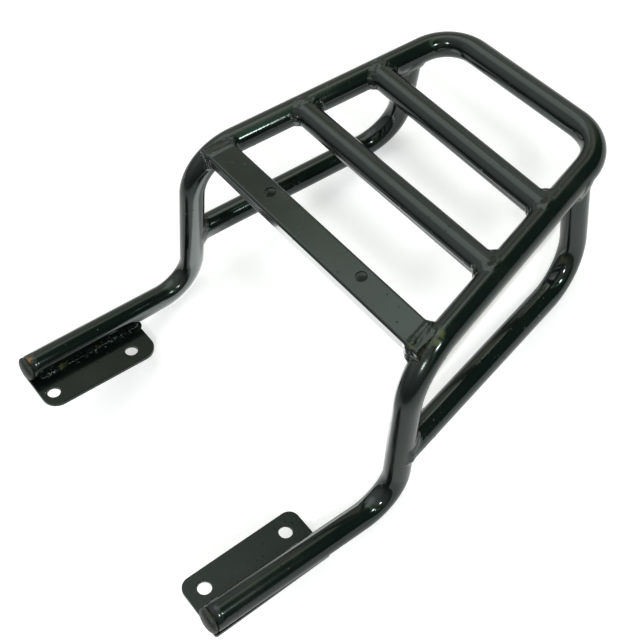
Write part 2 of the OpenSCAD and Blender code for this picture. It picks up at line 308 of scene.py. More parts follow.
WELD_STAINS_AND_SHEEN = (
    Stain((0.1130, 0.1765, -0.1165), 0.0050, MOSS, 0.9),
    Stain((0.1130, 0.1722, -0.1175), 0.0042, MOSS, 0.8),
    Stain((0.1135, 0.1445, -0.1240), 0.0050, MOSS),
    Stain((0.1135, 0.1400, -0.1250), 0.0044, MOSS, 0.9),
    Stain((0.1140, 0.1620, -0.1205), 0.0024, BROWN),
    Stain((-0.1075, 0.0110, -0.0010), 0.0026, MOSS, 0.4),
    # Painted sheen where the bead meets the crest of the left front bend, in place of its reflection
    Stain((-0.1108, -0.0030, -0.0012), 0.0042, PAINTED_SHEEN_OLIVE, 0.6),
    Stain((-0.1118, 0.0020, -0.0024), 0.0046, PAINTED_SHEEN_OLIVE, 0.6),
    Stain((-0.1110, 0.0070, -0.0042), 0.0046, PAINTED_SHEEN_OLIVE, 0.55),
    Stain((-0.0850, -0.0620, -0.0030), 0.0016, TAN, 0.5),
)
# Fill between the end of the drilled crossbar and the bend that falls away from it, on the right side:
# centre and radius of each lump in mm
CORNER_FILL = (
    (108.6, -6.0, -3.4, 2.9),
    (109.4, -1.5, -4.2, 3.1),
    (109.6, 3.0, -5.4, 3.2),
    (109.2, 7.0, -7.2, 3.2),
    (108.4, 10.5, -9.6, 3.0),
    (107.4, 13.0, -12.6, 2.6),
)
# Lumps of the weld beads: centre and radius in mm
LUMPS = {
    "middle_crossbar_weld_right": (
        (93.6, -76.6, -1.6, 1.5),
        (90.6, -79.6, -3.4, 1.4),
        (94.6, -55.5, -3.8, 1.2),
    ),
    "middle_crossbar_weld_left": ((-86.6, -60.2, -3.6, 1.7), (-89.4, -58.6, -4.4, 1.5)),
    "rear_crossbar_weld_right": ((83.2, -120.4, -3.4, 1.3),),
    "front_crossbar_weld_left": (
        (-105.0, 11.4, -1.2, 1.5),
        (-106.4, 8.2, -0.8, 1.3),
        (-106.6, 13.0, -4.6, 2.2),
        (-106.2, 13.2, -8.4, 2.4),
        (-105.4, 12.6, -11.4, 2.0),
        (-104.6, 5.4, -0.9, 0.9),
    ),
    "front_crossbar_weld_right": (
        (106.4, 12.8, -4.6, 1.7),
        (105.8, 13.0, -8.4, 2.0),
        (105.0, 12.4, -11.0, 1.8),
    ),
    "plate_weld_right": (
        (113.0, 125.4, -131.6, 1.5),
        (112.6, 118.2, -133.4, 1.6),
        (112.8, 148.4, -126.6, 1.0),
        (113.4, 156.0, -124.4, 1.1),
        (112.4, 164.0, -123.4, 0.9),
        (113.8, 187.9, -117.0, 1.0),
    ),
}
# Places with weld spatter: centre and reach in metres, and share of the full density
HOOP_SPATTER = (
    (0.1150, 0.1600, -0.1190, 0.012, 0.35),
    (0.1150, 0.1350, -0.1260, 0.012, 0.30),
    (0.1150, 0.1850, -0.1140, 0.012, 0.35),
    (-0.1150, 0.0050, -0.0060, 0.016, 0.20),
    (-0.1240, 0.0260, -0.0850, 0.016, 0.22),
    (0.0930, -0.0670, -0.0060, 0.013, 0.20),
    (0.0800, -0.1280, -0.0060, 0.013, 0.15),
    (-0.0930, -0.0670, -0.0060, 0.012, 0.10),
)
BRACE_SPATTER = (
    (-0.1240, 0.0200, -0.0810, 0.022, 0.45),
    (-0.1120, -0.0550, -0.0820, 0.016, 0.20),
    (-0.1030, -0.1100, -0.0850, 0.018, 0.45),
)
PLATE_SPATTER = (
    (0.1080, 0.1950, -0.1160, 0.016, 0.45),
    (0.1080, 0.1750, -0.1210, 0.016, 0.60),
    (0.1080, 0.1550, -0.1260, 0.016, 0.65),
    (0.1080, 0.1350, -0.1310, 0.014, 0.40),
)


@dataclass(frozen=True)
class GlossPaint:
    """Thick gloss paint on steel: orange peel, dust nibs, a dull haze, local staining and patches of painted
    sheen.
    """

    name: str
    colour: tuple[float, float, float, float] = (0.0028, 0.0050, 0.0042, 1)
    haze: tuple[float, float, float, float] = (0.011, 0.013, 0.011, 1)
    cast: tuple[float, float, float, float] = (0.86, 1.0, 0.945, 1)
    gloss: float = 0.10
    dull: float = 0.26
    peel: float = 420.0
    peel_height: float = 0.000035
    nib: float = 260.0
    nib_height: float = 0.00012
    nib_share: float = 0.16
    cloud: float = 38.0
    smear: float = 9.0
    grain: float = 620.0
    ior: float = 1.5
    dullest: float = 0.85
    stains: tuple[Stain, ...] = ()
    stain_dull: float = 0.42
    stain_height: float = 0.00022
    bare_box: tuple[tuple[float, float, float], tuple[float, float, float]] | None = None
    bare: tuple[float, float, float, float] = (0.26, 0.30, 0.26, 1)
    bare_dull: float = 0.5

    def make(self) -> bpy.types.Material:
        """Build the material.

        Returns:
            The new material.
        """
        material = bpy.data.materials.new(self.name)
        material.use_nodes = True
        g = Graph(material.node_tree)
        place = g.add("ShaderNodeTexCoord", out="Object")
        cloud = g.noise(place, self.cloud, 4.0, 0.62)
        smear = g.noise(place, self.smear, 3.0, 0.55)
        grain = g.noise(place, self.grain, 3.0, 0.65)
        colour = g.blend(cloud.rise(0.48, 0.72) * 0.6, self.colour, self.haze)
        smeared = smear.rise(0.35, 0.7) * (self.dull - self.gloss) * 0.7
        rough = smeared + self.gloss + cloud.rise(0.55, 0.8) * 0.05
        peel = g.noise(place, self.peel, 2.0, 0.45)
        height = peel * self.peel_height + self._nibs(g, place) * self.nib_height
        # Each entry tints the paint: most are stained spots, the olive-grey ones are painted sheen
        for stain_or_sheen in self.stains:
            depth = 1.35 - g.gap(place, stain_or_sheen.centre) / stain_or_sheen.reach
            ragged = depth + (cloud - 0.5) * 2.2 + (grain - 0.5) * 1.1
            mask = ragged.rise(0.42, 0.95) * stain_or_sheen.strength
            colour = g.blend(mask, colour, stain_or_sheen.colour)
            rough = rough + mask * self.stain_dull
            height = height + mask * (grain - 0.3) * self.stain_height
        if self.bare_box:
            within = self._unpainted(g, place)
            colour = g.blend(within, colour, self.bare)
            rough = rough + within * self.bare_dull
        rough = rough.low(self.dullest)
        bump = g.add("ShaderNodeBump", {}, {"Strength": 1.0, "Distance": 1.0, "Height": height})
        shader = g.add(
            "ShaderNodeBsdfPrincipled",
            {},
            {
                "Base Color": colour,
                "Roughness": rough,
                "IOR": self.ior,
                "Specular Tint": self.cast,
                "Normal": bump,
            },
        )
        g.add("ShaderNodeOutputMaterial", {}, {"Surface": shader})
        return material

    def _nibs(self, g: Graph, place: Wire) -> Wire:
        """Dust nibs under the paint.

        Args:
            g: graph of the material.
            place: place on the object.

        Returns:
            Their height from 0 to 1.
        """
        settings, inputs = {"feature": "F1"}, {"Vector": place, "Scale": self.nib}
        cell = g.add("ShaderNodeTexVoronoi", settings, inputs)
        pick = g.add("ShaderNodeTexVoronoi", settings, inputs, "Color")
        lot = g.add("ShaderNodeSeparateColor", {}, {0: pick})
        kept = lot.rise(1 - self.nib_share, 1 - self.nib_share + 0.04)
        return (1 - cell.rise(0.02, 0.26)) * kept

    def _unpainted(self, g: Graph, place: Wire) -> Wire:
        """Where the paint didn't reach.

        Args:
            g: graph of the material.
            place: place on the object.

        Returns:
            1 inside the unpainted box, otherwise 0.
        """
        middle, half = self.bare_box
        off = g.vector("ABSOLUTE", g.vector("SUBTRACT", place, middle))
        within = g.axis(off, 0).below(half[0])
        for number in (1, 2):
            within = within * g.axis(off, number).below(half[number])
        return within


@dataclass(frozen=True)
class CapPlastic:
    """Moulded plastic of an end cap, dull, with a pale scuffed rim."""

    name: str
    colour: tuple[float, float, float, float] = (0.007, 0.011, 0.008, 1)
    scuff: tuple[float, float, float, float] = (0.07, 0.08, 0.055, 1)
    scuffed: float = 0.35
    ior: float = 1.46

    def make(self) -> bpy.types.Material:
        """Build the material.

        Returns:
            The new material.
        """
        material = bpy.data.materials.new(self.name)
        material.use_nodes = True
        g = Graph(material.node_tree)
        place = g.add("ShaderNodeTexCoord", out="Object")
        grain = g.noise(place, 900.0, 3.0, 0.7)
        wear = g.noise(place, 160.0, 5.0, 0.7)
        edge = g.add("ShaderNodeNewGeometry", out="Pointiness")
        rubbed = (edge.rise(0.505, 0.56) + wear.rise(0.58, 0.75) * 0.35) * self.scuffed
        colour = g.blend(rubbed.low(1.0), self.colour, self.scuff)
        rough = grain * 0.2 + 0.36 + rubbed * 0.2
        bump = g.add("ShaderNodeBump", {}, {"Distance": 1.0, "Height": grain * 0.00006 + wear * 0.00012})
        shader = g.add(
            "ShaderNodeBsdfPrincipled",
            {},
            {"Base Color": colour, "Roughness": rough, "IOR": self.ior, "Normal": bump},
        )
        g.add("ShaderNodeOutputMaterial", {}, {"Surface": shader})
        return material


# Meshes


def make_mesh(name: str, verts: np.ndarray, faces: np.ndarray, smooth: bool = True) -> bpy.types.Object:
    """Mesh object at the origin from arrays.

    Args:
        name: name of the object.
        verts: vertex places in metres.
        faces: quads or triangles, faces outwards.
        smooth: whether the faces shade smoothly.

    Returns:
        The linked object.
    """
    mesh = bpy.data.meshes.new(name)
    mesh.from_pydata([tuple(v) for v in verts], [], [tuple(int(i) for i in f) for f in faces])
    mesh.update()
    if smooth:
        mesh.shade_smooth()
    piece = bpy.data.objects.new(name, mesh)
    bpy.context.scene.collection.objects.link(piece)
    return piece


def frozen_mesh(source: bpy.types.Object, name: str) -> bpy.types.Object:
    """Plain mesh object from an evaluated one; the source is removed.

    Args:
        source: object with live modifiers or a curve.
        name: name of the new object.

    Returns:
        The linked plain mesh object.
    """
    bpy.context.view_layer.update()
    seen = source.evaluated_get(bpy.context.evaluated_depsgraph_get())
    mesh = bpy.data.meshes.new_from_object(seen)
    mesh.name = name
    bpy.data.objects.remove(source)
    piece = bpy.data.objects.new(name, mesh)
    bpy.context.scene.collection.objects.link(piece)
    return piece


@dataclass
class Path:
    """Centreline of a bent tube, with how far each point lies in a bend."""

    points: np.ndarray
    pinch: np.ndarray
    inside: np.ndarray

    @classmethod
    def along(
        cls, corners: list[np.ndarray], bends: list[float], stride: float = 6.0, fine: float = 1.6
    ) -> "Path":
        """Path through corner points with round bends.

        Args:
            corners: corner points in mm.
            bends: bend radius at each corner in mm, 0 at both ends.
            stride: distance between points on a straight length.
            fine: distance between points in a bend.

        Returns:
            The path, in metres.
        """
        points, pinch, inside = [], [], []

        def straight(a: np.ndarray, b: np.ndarray) -> None:
            """Points from a up to, but not with, b."""
            count = max(int(np.linalg.norm(b - a) / stride), 1)
            for i in range(count):
                points.append(a + (b - a) * i / count)
                pinch.append(0.0)
                inside.append(np.zeros(3))

        here = np.asarray(corners[0], float)
        for i in range(1, len(corners) - 1):
            p = np.asarray(corners[i], float)
            u = unit(p - corners[i - 1])
            v = unit(np.asarray(corners[i + 1], float) - p)
            angle = math.acos(np.clip(u @ v, -1, 1))
            trim = bends[i] * math.tan(angle / 2)
            n = unit(v - (u @ v) * u)
            start = p - u * trim
            centre = start + n * bends[i]
            straight(here, start)
            count = max(int(bends[i] * angle / fine), 4)
            for k in range(count):
                share = k / count
                towards = n * math.cos(angle * share) - u * math.sin(angle * share)
                points.append(centre - bends[i] * towards)
                pinch.append(float(smoothstep(0, 0.5, share) * smoothstep(0, 0.5, 1 - share)))
                inside.append(towards)
            here = p + v * trim
        straight(here, np.asarray(corners[-1], float))
        points.append(np.asarray(corners[-1], float))
        pinch.append(0.0)
        inside.append(np.zeros(3))
        return cls(np.array(points) * MM, np.array(pinch), np.array(inside))


@dataclass
class TubeSweep:
    """Geometry Nodes tree that draws a bent round tube, pressed in a little inside its bends."""

    name: str = "bent_tube"
    sides: int = 64

    def tree(self) -> tuple[bpy.types.NodeTree, dict[str, str]]:
        """Build the node tree.

        Returns:
            The tree, and the identifier of each named input.
        """
        tree = bpy.data.node_groups.new(self.name, "GeometryNodeTree")
        ports = {}
        tree.interface.new_socket(name="Tube", in_out="OUTPUT", socket_type="NodeSocketGeometry")
        tree.interface.new_socket(name="Line", in_out="INPUT", socket_type="NodeSocketGeometry")
        for name, kind in (
            ("Radius", "NodeSocketFloat"),
            ("Press depth", "NodeSocketFloat"),
            ("Side swell", "NodeSocketFloat"),
            ("Finish", "NodeSocketMaterial"),
        ):
            ports[name] = tree.interface.new_socket(name=name, in_out="INPUT", socket_type=kind).identifier
        g = Graph(tree)
        entry = g.add("NodeGroupInput").socket.node
        line = Wire(g, entry.outputs["Line"])
        radius = Wire(g, entry.outputs["Radius"])
        press = Wire(g, entry.outputs["Press depth"])
        swell = Wire(g, entry.outputs["Side swell"])
        finish = Wire(g, entry.outputs["Finish"])
        run = g.add("GeometryNodeMeshToCurve", {}, {"Mesh": line})
        ring = g.add("GeometryNodeCurvePrimitiveCircle", {}, {"Resolution": self.sides, "Radius": radius})
        skin = g.add("GeometryNodeCurveToMesh", {}, {"Curve": run, "Profile Curve": ring})
        pinch = g.add("GeometryNodeInputNamedAttribute", {"data_type": "FLOAT"}, {"Name": "pinch"})
        inside = g.add("GeometryNodeInputNamedAttribute", {"data_type": "FLOAT_VECTOR"}, {"Name": "inside"})
        normal = g.add("GeometryNodeInputNormal")
        facing = g.dot(normal, inside)
        dent = facing.top(0.0) ** 2.2 * pinch * press
        spread = (1 - facing * facing) * pinch * swell
        inward = g.vector("SCALE", inside, scale=dent * -1.0)
        outward = g.vector("SCALE", normal, scale=spread)
        shift = g.vector("ADD", inward, outward)
        moved = g.add("GeometryNodeSetPosition", {}, {"Geometry": skin, "Offset": shift})
        smooth = g.add("GeometryNodeSetShadeSmooth", {}, {"Geometry": moved, "Shade Smooth": True})
        whole = g.add("GeometryNodeRealizeInstances", {}, {"Geometry": smooth})
        dressed = g.add("GeometryNodeSetMaterial", {}, {"Geometry": whole, "Material": finish})
        g.add("NodeGroupOutput", {}, {"Tube": dressed})
        return tree, ports

    def draw(
        self,
        name: str,
        path: Path,
        radius: float,
        wall: float,
        press: float,
        swell: float,
        paint: bpy.types.Material,
    ) -> bpy.types.Object:
        """Draw one tube.

        Args:
            name: name of the piece.
            path: its centreline.
            radius: outside radius in metres.
            wall: wall thickness in metres.
            press: depth of the press mark inside a bend, in metres.
            swell: growth of the sides of a bend, in metres.
            paint: its finish.

        Returns:
            The finished plain mesh object.
        """
        mesh = bpy.data.meshes.new(name)
        count = len(path.points)
        mesh.from_pydata([tuple(p) for p in path.points], [(i, i + 1) for i in range(count - 1)], [])
        pinch = mesh.attributes.new("pinch", "FLOAT", "POINT")
        pinch.data.foreach_set("value", path.pinch.astype(np.float32))
        inside = mesh.attributes.new("inside", "FLOAT_VECTOR", "POINT")
        inside.data.foreach_set("vector", path.inside.astype(np.float32).ravel())
        source = bpy.data.objects.new(name + "_line", mesh)
        bpy.context.scene.collection.objects.link(source)
        tree, ports = self.tree()
        modifier = source.modifiers.new("sweep", "NODES")
        modifier.node_group = tree
        modifier[ports["Radius"]] = radius
        modifier[ports["Press depth"]] = press
        modifier[ports["Side swell"]] = swell
        modifier[ports["Finish"]] = paint
        shell = source.modifiers.new("wall", "SOLIDIFY")
        shell.thickness = wall
        shell.offset = -1.0
        piece = frozen_mesh(source, name)
        for extra in ("pinch", "inside"):
            if extra in piece.data.attributes:
                piece.data.attributes.remove(piece.data.attributes[extra])
        return piece


@dataclass
class Rack:
    """Sizes of the rack in mm and the corner points that follow from them."""

    tube_r: float = 9.5
    wall: float = 1.6
    branch_r: float = 9.4
    deck_front_w: float = 234
    deck_rear_w: float = 152
    deck_len: float = 215.5
    corner_bend_r: float = 33
    front_bend_r: float = 43.5
    leg_drop: float = 132.5
    leg_lean: float = 31
    foot_w: float = 250.5
    foot_bend_r: float = 31.5
    arm_len: float = 154.5
    right_arm_cut: float = 5
    arm_rise: float = 13.5
    arm_toe: float = 1
    brace_root: float = 80.5
    brace_root_out: float = 2.4
    brace_heel_set: float = 43.5
    brace_heel_drop: float = 85.5
    brace_heel_w: float = 193.5
    brace_bend_r: float = 37
    brace_head_set: float = 36.5
    middle_bar_set: float = 129
    middle_bar_skew: float = 0.5
    rear_bar_set: float = 68
    rear_bar_skew: float = 2.4
    box_depth: float = 21.5
    box_height: float = 12
    box_rise: float = 9
    hole_back: float = 19.4
    box_y: float = 2.0
    plate_len: float = 96.5
    plate_w: float = 44.5
    plate_t: float = 3.5
    left_plate_past: float = 2.5
    right_plate_past: float = 4
    plate_corner_r: float = 12
    left_plate_corner_r: float = 8
    plate_back_r: float = 2
    plate_bed: float = 0.3
    plate_hole_r: float = 5
    plate_hole_w: float = 197.5
    plate_hole_edge: float = 12.6
    plate_hole_back: float = 10.9
    plate_hole_pitch: float = 68.2

    def __post_init__(self) -> None:
        """Work out the corner points of the right side."""
        z = -self.box_rise
        self.front = np.array([self.deck_front_w / 2, self.hole_back, z])
        self.rear = np.array([self.deck_rear_w / 2, self.hole_back - self.deck_len, z])
        self.foot = np.array([self.foot_w / 2, self.hole_back + self.leg_lean, z - self.leg_drop])
        toe, rise = math.radians(self.arm_toe), math.radians(self.arm_rise)
        ahead = math.cos(toe)
        self.arm_dir = np.array([-math.sin(toe), ahead * math.cos(rise), ahead * math.sin(rise)])
        self.leg_dir = unit(self.foot - self.front)
        self.rail_dir = unit(self.rear - self.front)
        self.root = self.front + self.leg_dir * self.brace_root + [self.brace_root_out, 0, 0]
        heel_y = self.hole_back - self.deck_len + self.brace_heel_set
        self.heel = np.array([self.brace_heel_w / 2, heel_y, z - self.brace_heel_drop])
        self.head = self.rail_at(self.deck_len - self.brace_head_set)

    def rail_at(self, back: float) -> np.ndarray:
        """Point of the right rail's centreline at a distance behind its front corner point."""
        return self.front + (self.rear - self.front) * back / self.deck_len

    def arm_length(self, side: Side) -> float:
        """Length of one arm."""
        return self.arm_len - (self.right_arm_cut if side is Side.RIGHT else 0)

    def hoop(self) -> Path:
        """Centreline of the hoop.

        Returns:
            The path from the right arm's open end to the left one's.
        """
        right = [self.foot + self.arm_dir * self.arm_length(Side.RIGHT), self.foot, self.front, self.rear]
        left = [Side.LEFT.of(p) for p in (self.rear, self.front, self.foot)]
        left.append(Side.LEFT.of(self.foot + self.arm_dir * self.arm_length(Side.LEFT)))
        r = [0, self.foot_bend_r, self.front_bend_r, self.corner_bend_r]
        return Path.along(right + left, r + r[::-1])

    def brace(self, side: Side) -> Path:
        """Centreline of a brace."""
        return Path.along([side.of(p) for p in (self.root, self.heel, self.head)], [0, self.brace_bend_r, 0])


# Weld beads


def smooth_min(a: np.ndarray, b: np.ndarray, k: float) -> np.ndarray:
    """Smaller of two distances, rounded over a width k."""
    h = np.clip(k - np.abs(a - b), 0, None) / k
    return np.minimum(a, b) - h * h * h * k / 6


def surface_nets(level: np.ndarray, origin: np.ndarray, pitch: float) -> tuple[np.ndarray, np.ndarray]:
    """Quads round the region where a sampled distance is below zero.

    Args:
        level: distances on a regular grid.
        origin: place of its first sample.
        pitch: distance between samples.

    Returns:
        Vertices, and quads that face outwards.
    """
    inside = level < 0
    cells = tuple(n - 1 for n in level.shape)

    def corner(grid: np.ndarray, step: tuple[int, int, int]) -> np.ndarray:
        """The samples at one corner of every cell."""
        return grid[tuple(slice(s, s + n) for s, n in zip(step, cells))]

    steps = [(i, j, k) for i in (0, 1) for j in (0, 1) for k in (0, 1)]
    total = sum(corner(inside, s).astype(np.int8) for s in steps)
    mixed = (total > 0) & (total < 8)
    index = np.full(cells, -1, np.int64)
    index[mixed] = np.arange(mixed.sum())
    place = np.zeros((mixed.sum(), 3))
    hits = np.zeros(mixed.sum())
    for a in steps:
        for axis in range(3):
            if a[axis] == 1:
                continue
            b = tuple(1 if i == axis else a[i] for i in range(3))
            fa, fb = corner(level, a)[mixed], corner(level, b)[mixed]
            cross = (fa < 0) != (fb < 0)
            t = np.where(cross, fa / np.where(cross, fa - fb, 1), 0)
            spot = np.array(a, float)[None, :] + t[:, None] * np.eye(3)[axis][None, :]
            place += spot * cross[:, None]
            hits += cross
    verts = (np.argwhere(mixed) + place / hits[:, None]) * pitch + origin
    quads = []
    for axis in range(3):
        u, v = (axis + 1) % 3, (axis + 2) % 3
        low = [slice(None)] * 3
        high = [slice(None)] * 3
        low[axis], high[axis] = slice(0, -1), slice(1, None)
        change = inside[tuple(low)] != inside[tuple(high)]
        at = np.argwhere(change)
        at = at[(at[:, u] > 0) & (at[:, v] > 0) & (at[:, u] < cells[u]) & (at[:, v] < cells[v])]
        ring = []
        for du, dv in ((-1, -1), (0, -1), (0, 0), (-1, 0)):
            cell = at.copy()
            cell[:, u] += du
            cell[:, v] += dv
            ring.append(index[cell[:, 0], cell[:, 1], cell[:, 2]])
        quad = np.stack(ring, 1)
        outward = inside[at[:, 0], at[:, 1], at[:, 2]]
        quads.append(np.where(outward[:, None], quad, quad[:, ::-1]))
    return verts, np.concatenate(quads)


@dataclass
class Rod:
    """Round body that runs on from a start, sizes in mm."""

    point: np.ndarray
    direction: np.ndarray
    radius: float
    start: float = -1e4

    def distance(self, q: np.ndarray) -> np.ndarray:
        """Distance of points from its skin.

        Args:
            q: points in mm.

        Returns:
            The distances, below 0 inside.
        """
        w = q - self.point
        run = w @ self.direction
        off = np.linalg.norm(w - run[..., None] * self.direction, axis=-1)
        return np.maximum(off - self.radius, self.start - run)


@dataclass
class BentRun:
    """Round tube bent once at a corner point, sizes in mm."""

    before: np.ndarray
    corner: np.ndarray
    after: np.ndarray
    bend_r: float
    radius: float

    def __post_init__(self) -> None:
        """Work out the bend's centre and where it starts and ends."""
        self.enter = unit(self.corner - self.before)
        self.leave = unit(self.after - self.corner)
        self.trim = self.bend_r * math.tan(math.acos(self.enter @ self.leave) / 2)
        inward = unit(self.leave - (self.enter @ self.leave) * self.enter)
        self.centre = self.corner - self.enter * self.trim + inward * self.bend_r
        self.axis = unit(np.cross(self.enter, self.leave))

    def ring_point(self, spot: np.ndarray) -> np.ndarray:
        """Point of the bend's centreline nearest to a spot."""
        w = spot - self.centre
        return self.centre + self.bend_r * unit(w - (w @ self.axis) * self.axis)

    def distance(self, q: np.ndarray) -> np.ndarray:
        """Distance of points from its skin.

        Args:
            q: points in mm.

        Returns:
            The distances, below 0 inside.
        """
        first = Rod(self.corner, -self.enter, self.radius, self.trim).distance(q)
        last = Rod(self.corner, self.leave, self.radius, self.trim).distance(q)
        w = q - self.centre
        height = w @ self.axis
        flat = np.linalg.norm(w - height[..., None] * self.axis, axis=-1)
        bend = np.hypot(flat - self.bend_r, height) - self.radius
        bend = np.maximum(bend, np.maximum(-(w @ self.enter), w @ self.leave))
        return np.minimum(bend, np.minimum(first, last))


@dataclass
class Beam:
    """Endless bar of rounded rectangular section along X, sizes in mm."""

    y: float
    z: float
    depth: float
    height: float
    edge: float

    def distance(self, q: np.ndarray) -> np.ndarray:
        """Distance of points from its skin.

        Args:
            q: points in mm.

        Returns:
            The distances, below 0 inside.
        """
        a = np.abs(q[..., 1] - self.y) - self.depth / 2 + self.edge
        b = np.abs(q[..., 2] - self.z) - self.height / 2 + self.edge
        outer = np.hypot(np.clip(a, 0, None), np.clip(b, 0, None))
        return outer + np.minimum(np.maximum(a, b), 0) - self.edge


@dataclass
class Slab:
    """Half space below a plane, sizes in mm."""

    point: np.ndarray
    normal: np.ndarray

    def distance(self, q: np.ndarray) -> np.ndarray:
        """Distance of points from its face."""
        return (q - self.point) @ self.normal


@dataclass
class WeldBead:
    """Bead along a seam, with ripples, lumps and a fillet into the members it joins."""

    name: str
    seams: list[np.ndarray]
    members: list
    radius: float = 2.3
    pitch: float = 2.8
    ripple: float = 0.07
    lump: float = 0.26
    fillet: float = 5.0
    reach: float = 4.6
    voxel: float = 0.42
    join: float = 2.4
    blob_join: float = 1.2
    lift: float = 0.07
    sunk: float = 0.7
    seed: int = 1
    blobs: tuple[tuple[float, float, float, float], ...] = ()

    def _wobble(self, q: np.ndarray) -> np.ndarray:
        """Irregular lumps that fade in and out through space.

        Args:
            q: points in mm.

        Returns:
            Their height at each point, about -1 to 1.
        """
        rng = np.random.default_rng(self.seed)
        total = np.zeros(q.shape[:-1])
        for _ in range(9):
            wave = rng.normal(size=3)
            wave *= 2 * math.pi / rng.uniform(3.0, 11.0) / np.linalg.norm(wave)
            total += np.sin(q @ wave + rng.uniform(0, 2 * math.pi))
        return total / 3

    def _seam_distance(self, q: np.ndarray) -> tuple[np.ndarray, np.ndarray, np.ndarray]:
        """Distance of points from the seams.

        Args:
            q: points in mm.

        Returns:
            The gap to the nearest spot, how far along its seam that lies, and the bead's girth factor there.
        """
        best = np.full(len(q), 1e9)
        along = np.zeros(len(q))
        share = np.ones(len(q))
        for seam in self.seams:
            ends, factor = seam[:, :3], seam[:, 3]
            a, d = ends[:-1], np.diff(ends, axis=0)
            length = np.linalg.norm(d, axis=1)
            before = np.concatenate([[0], np.cumsum(length)[:-1]])
            for i in range(len(a)):
                w = q - a[i]
                t = np.clip(w @ d[i] / length[i] ** 2, 0, 1)
                gap = np.linalg.norm(w - t[:, None] * d[i], axis=1)
                near = gap < best
                best[near] = gap[near]
                along[near] = before[i] + t[near] * length[i]
                share[near] = factor[i] + (factor[i + 1] - factor[i]) * t[near]
        return best, along, share

    def build(self) -> bpy.types.Object:
        """Make the bead's closed mesh.

        Returns:
            The object, in metres.
        """
        margin = self.radius + self.reach + 1.2
        spots = np.vstack([seam[:, :3] for seam in self.seams])
        low, high = spots.min(0) - margin, spots.max(0) + margin
        shape = np.ceil((high - low) / self.voxel).astype(int) + 1
        grid = np.stack(np.meshgrid(*[np.arange(n) * self.voxel for n in shape], indexing="ij"), -1) + low
        flat = grid.reshape(-1, 3)
        parts = [m.distance(flat) for m in self.members]
        body = np.min(parts, axis=0)
        outside = np.max(parts, axis=0)
        level = np.full(len(flat), 5.0)
        near = (body < margin) & (body > -1.6) & (outside < margin + 3)
        q = flat[near]
        gap, along, share = self._seam_distance(q)
        beat = np.sin(2 * math.pi * along / self.pitch + 0.8 * self._wobble(q * 0.6))
        girth = self.radius * share * (1 + self.ripple * beat) + self.lump * share * self._wobble(q)
        joined = parts[0][near]
        for part in parts[1:]:
            joined = smooth_min(joined, part[near], self.join)
        skin = smooth_min(joined + self.lift, gap - girth, self.fillet)
        for x, y, z, r in self.blobs:
            skin = smooth_min(skin, np.linalg.norm(q - (x, y, z), axis=1) - r, self.blob_join)
        limit = gap - self.radius - self.reach
        level[near] = np.maximum(np.maximum(skin, limit), -(body[near] + self.sunk))
        verts, quads = surface_nets(level.reshape(shape), low, self.voxel)
        return make_mesh(self.name, verts * MM, quads)


# Stage


@dataclass(frozen=True)
class Patch:
    """Soft patch of the sky round a direction, between two angles in degrees.

    Its strength is above 0 where it brightens the sky, and below 0 where it darkens it.
    """

    direction: tuple[float, float, float]
    wide: float
    narrow: float
    strength: float = 1.0

    def glow(self, g: Graph, way: Wire) -> Wire:
        """Strength of the patch in each direction.

        Args:
            g: graph of the world.
            way: the direction looked at.

        Returns:
            0 outside the patch, and its strength in the middle.
        """
        facing = g.dot(way, tuple(unit(np.array(self.direction))))
        edge, middle = (math.cos(math.radians(angle)) for angle in (self.wide, self.narrow))
        return facing.rise(edge, middle) * self.strength


@dataclass(frozen=True)
class Lamp:
    """Soft round lamp aimed at the rack from a distance, in metres and watts."""

    name: str
    direction: tuple[float, float, float]
    power: float
    away: float = 0.9
    size: float = 0.12

    def build(self) -> None:
        """Hang the lamp."""
        data = bpy.data.lights.new(self.name, "AREA")
        data.shape = "DISK"
        data.size = self.size
        data.energy = self.power
        lamp = bpy.data.objects.new(self.name, data)
        way = Vector(self.direction).normalized()
        turn = way.to_track_quat("Z", "Y").to_matrix().to_4x4()
        lamp.matrix_world = Matrix.Translation(way * self.away) @ turn
        bpy.context.scene.collection.objects.link(lamp)


ROOF = Patch((0.50, -0.05, 0.87), 29, 6, 1.2)
BEHIND = Patch((-0.55, 0.75, 0.30), 62, 25, -0.45)
# Patches that the top of the drilled crossbar mirrors
DIPS = (
    Patch((0.565, -0.424, 0.70), 15, 6, -0.5),
    Patch((0.45, -0.46, 0.77), 16, 5, 0.5),
    Patch((0.63, -0.25, 0.735), 9, 3, -0.42),
)
STREAK = Patch((-0.45, -0.15, 0.88), 52, 30, 1.1)
STREAK_ACROSS = (0.21, 1.0, 0.231)
DARK_SIDE = (-0.62, -0.62, 0.47)
WARM = Patch((0.66, -0.44, 0.60), 24, 8)

WHITE = (1, 1, 1, 1)
WARM_WHITE = (0.96, 1.0, 0.80, 1)
COOL_WHITE = (0.985, 1.0, 0.985, 1)
RIM_YELLOW = (0.96, 1.0, 0.58, 1)
DARK_GREEN = (0.55, 1.0, 0.78, 1)
BEIGE = (1.0, 0.985, 0.93, 1)
FLOOR_PALE = (0.86, 0.86, 0.87, 1)
FLOOR_GREY = (0.70, 0.70, 0.71, 1)
FLOOR_SHADE = (0.22, 0.22, 0.20, 1)


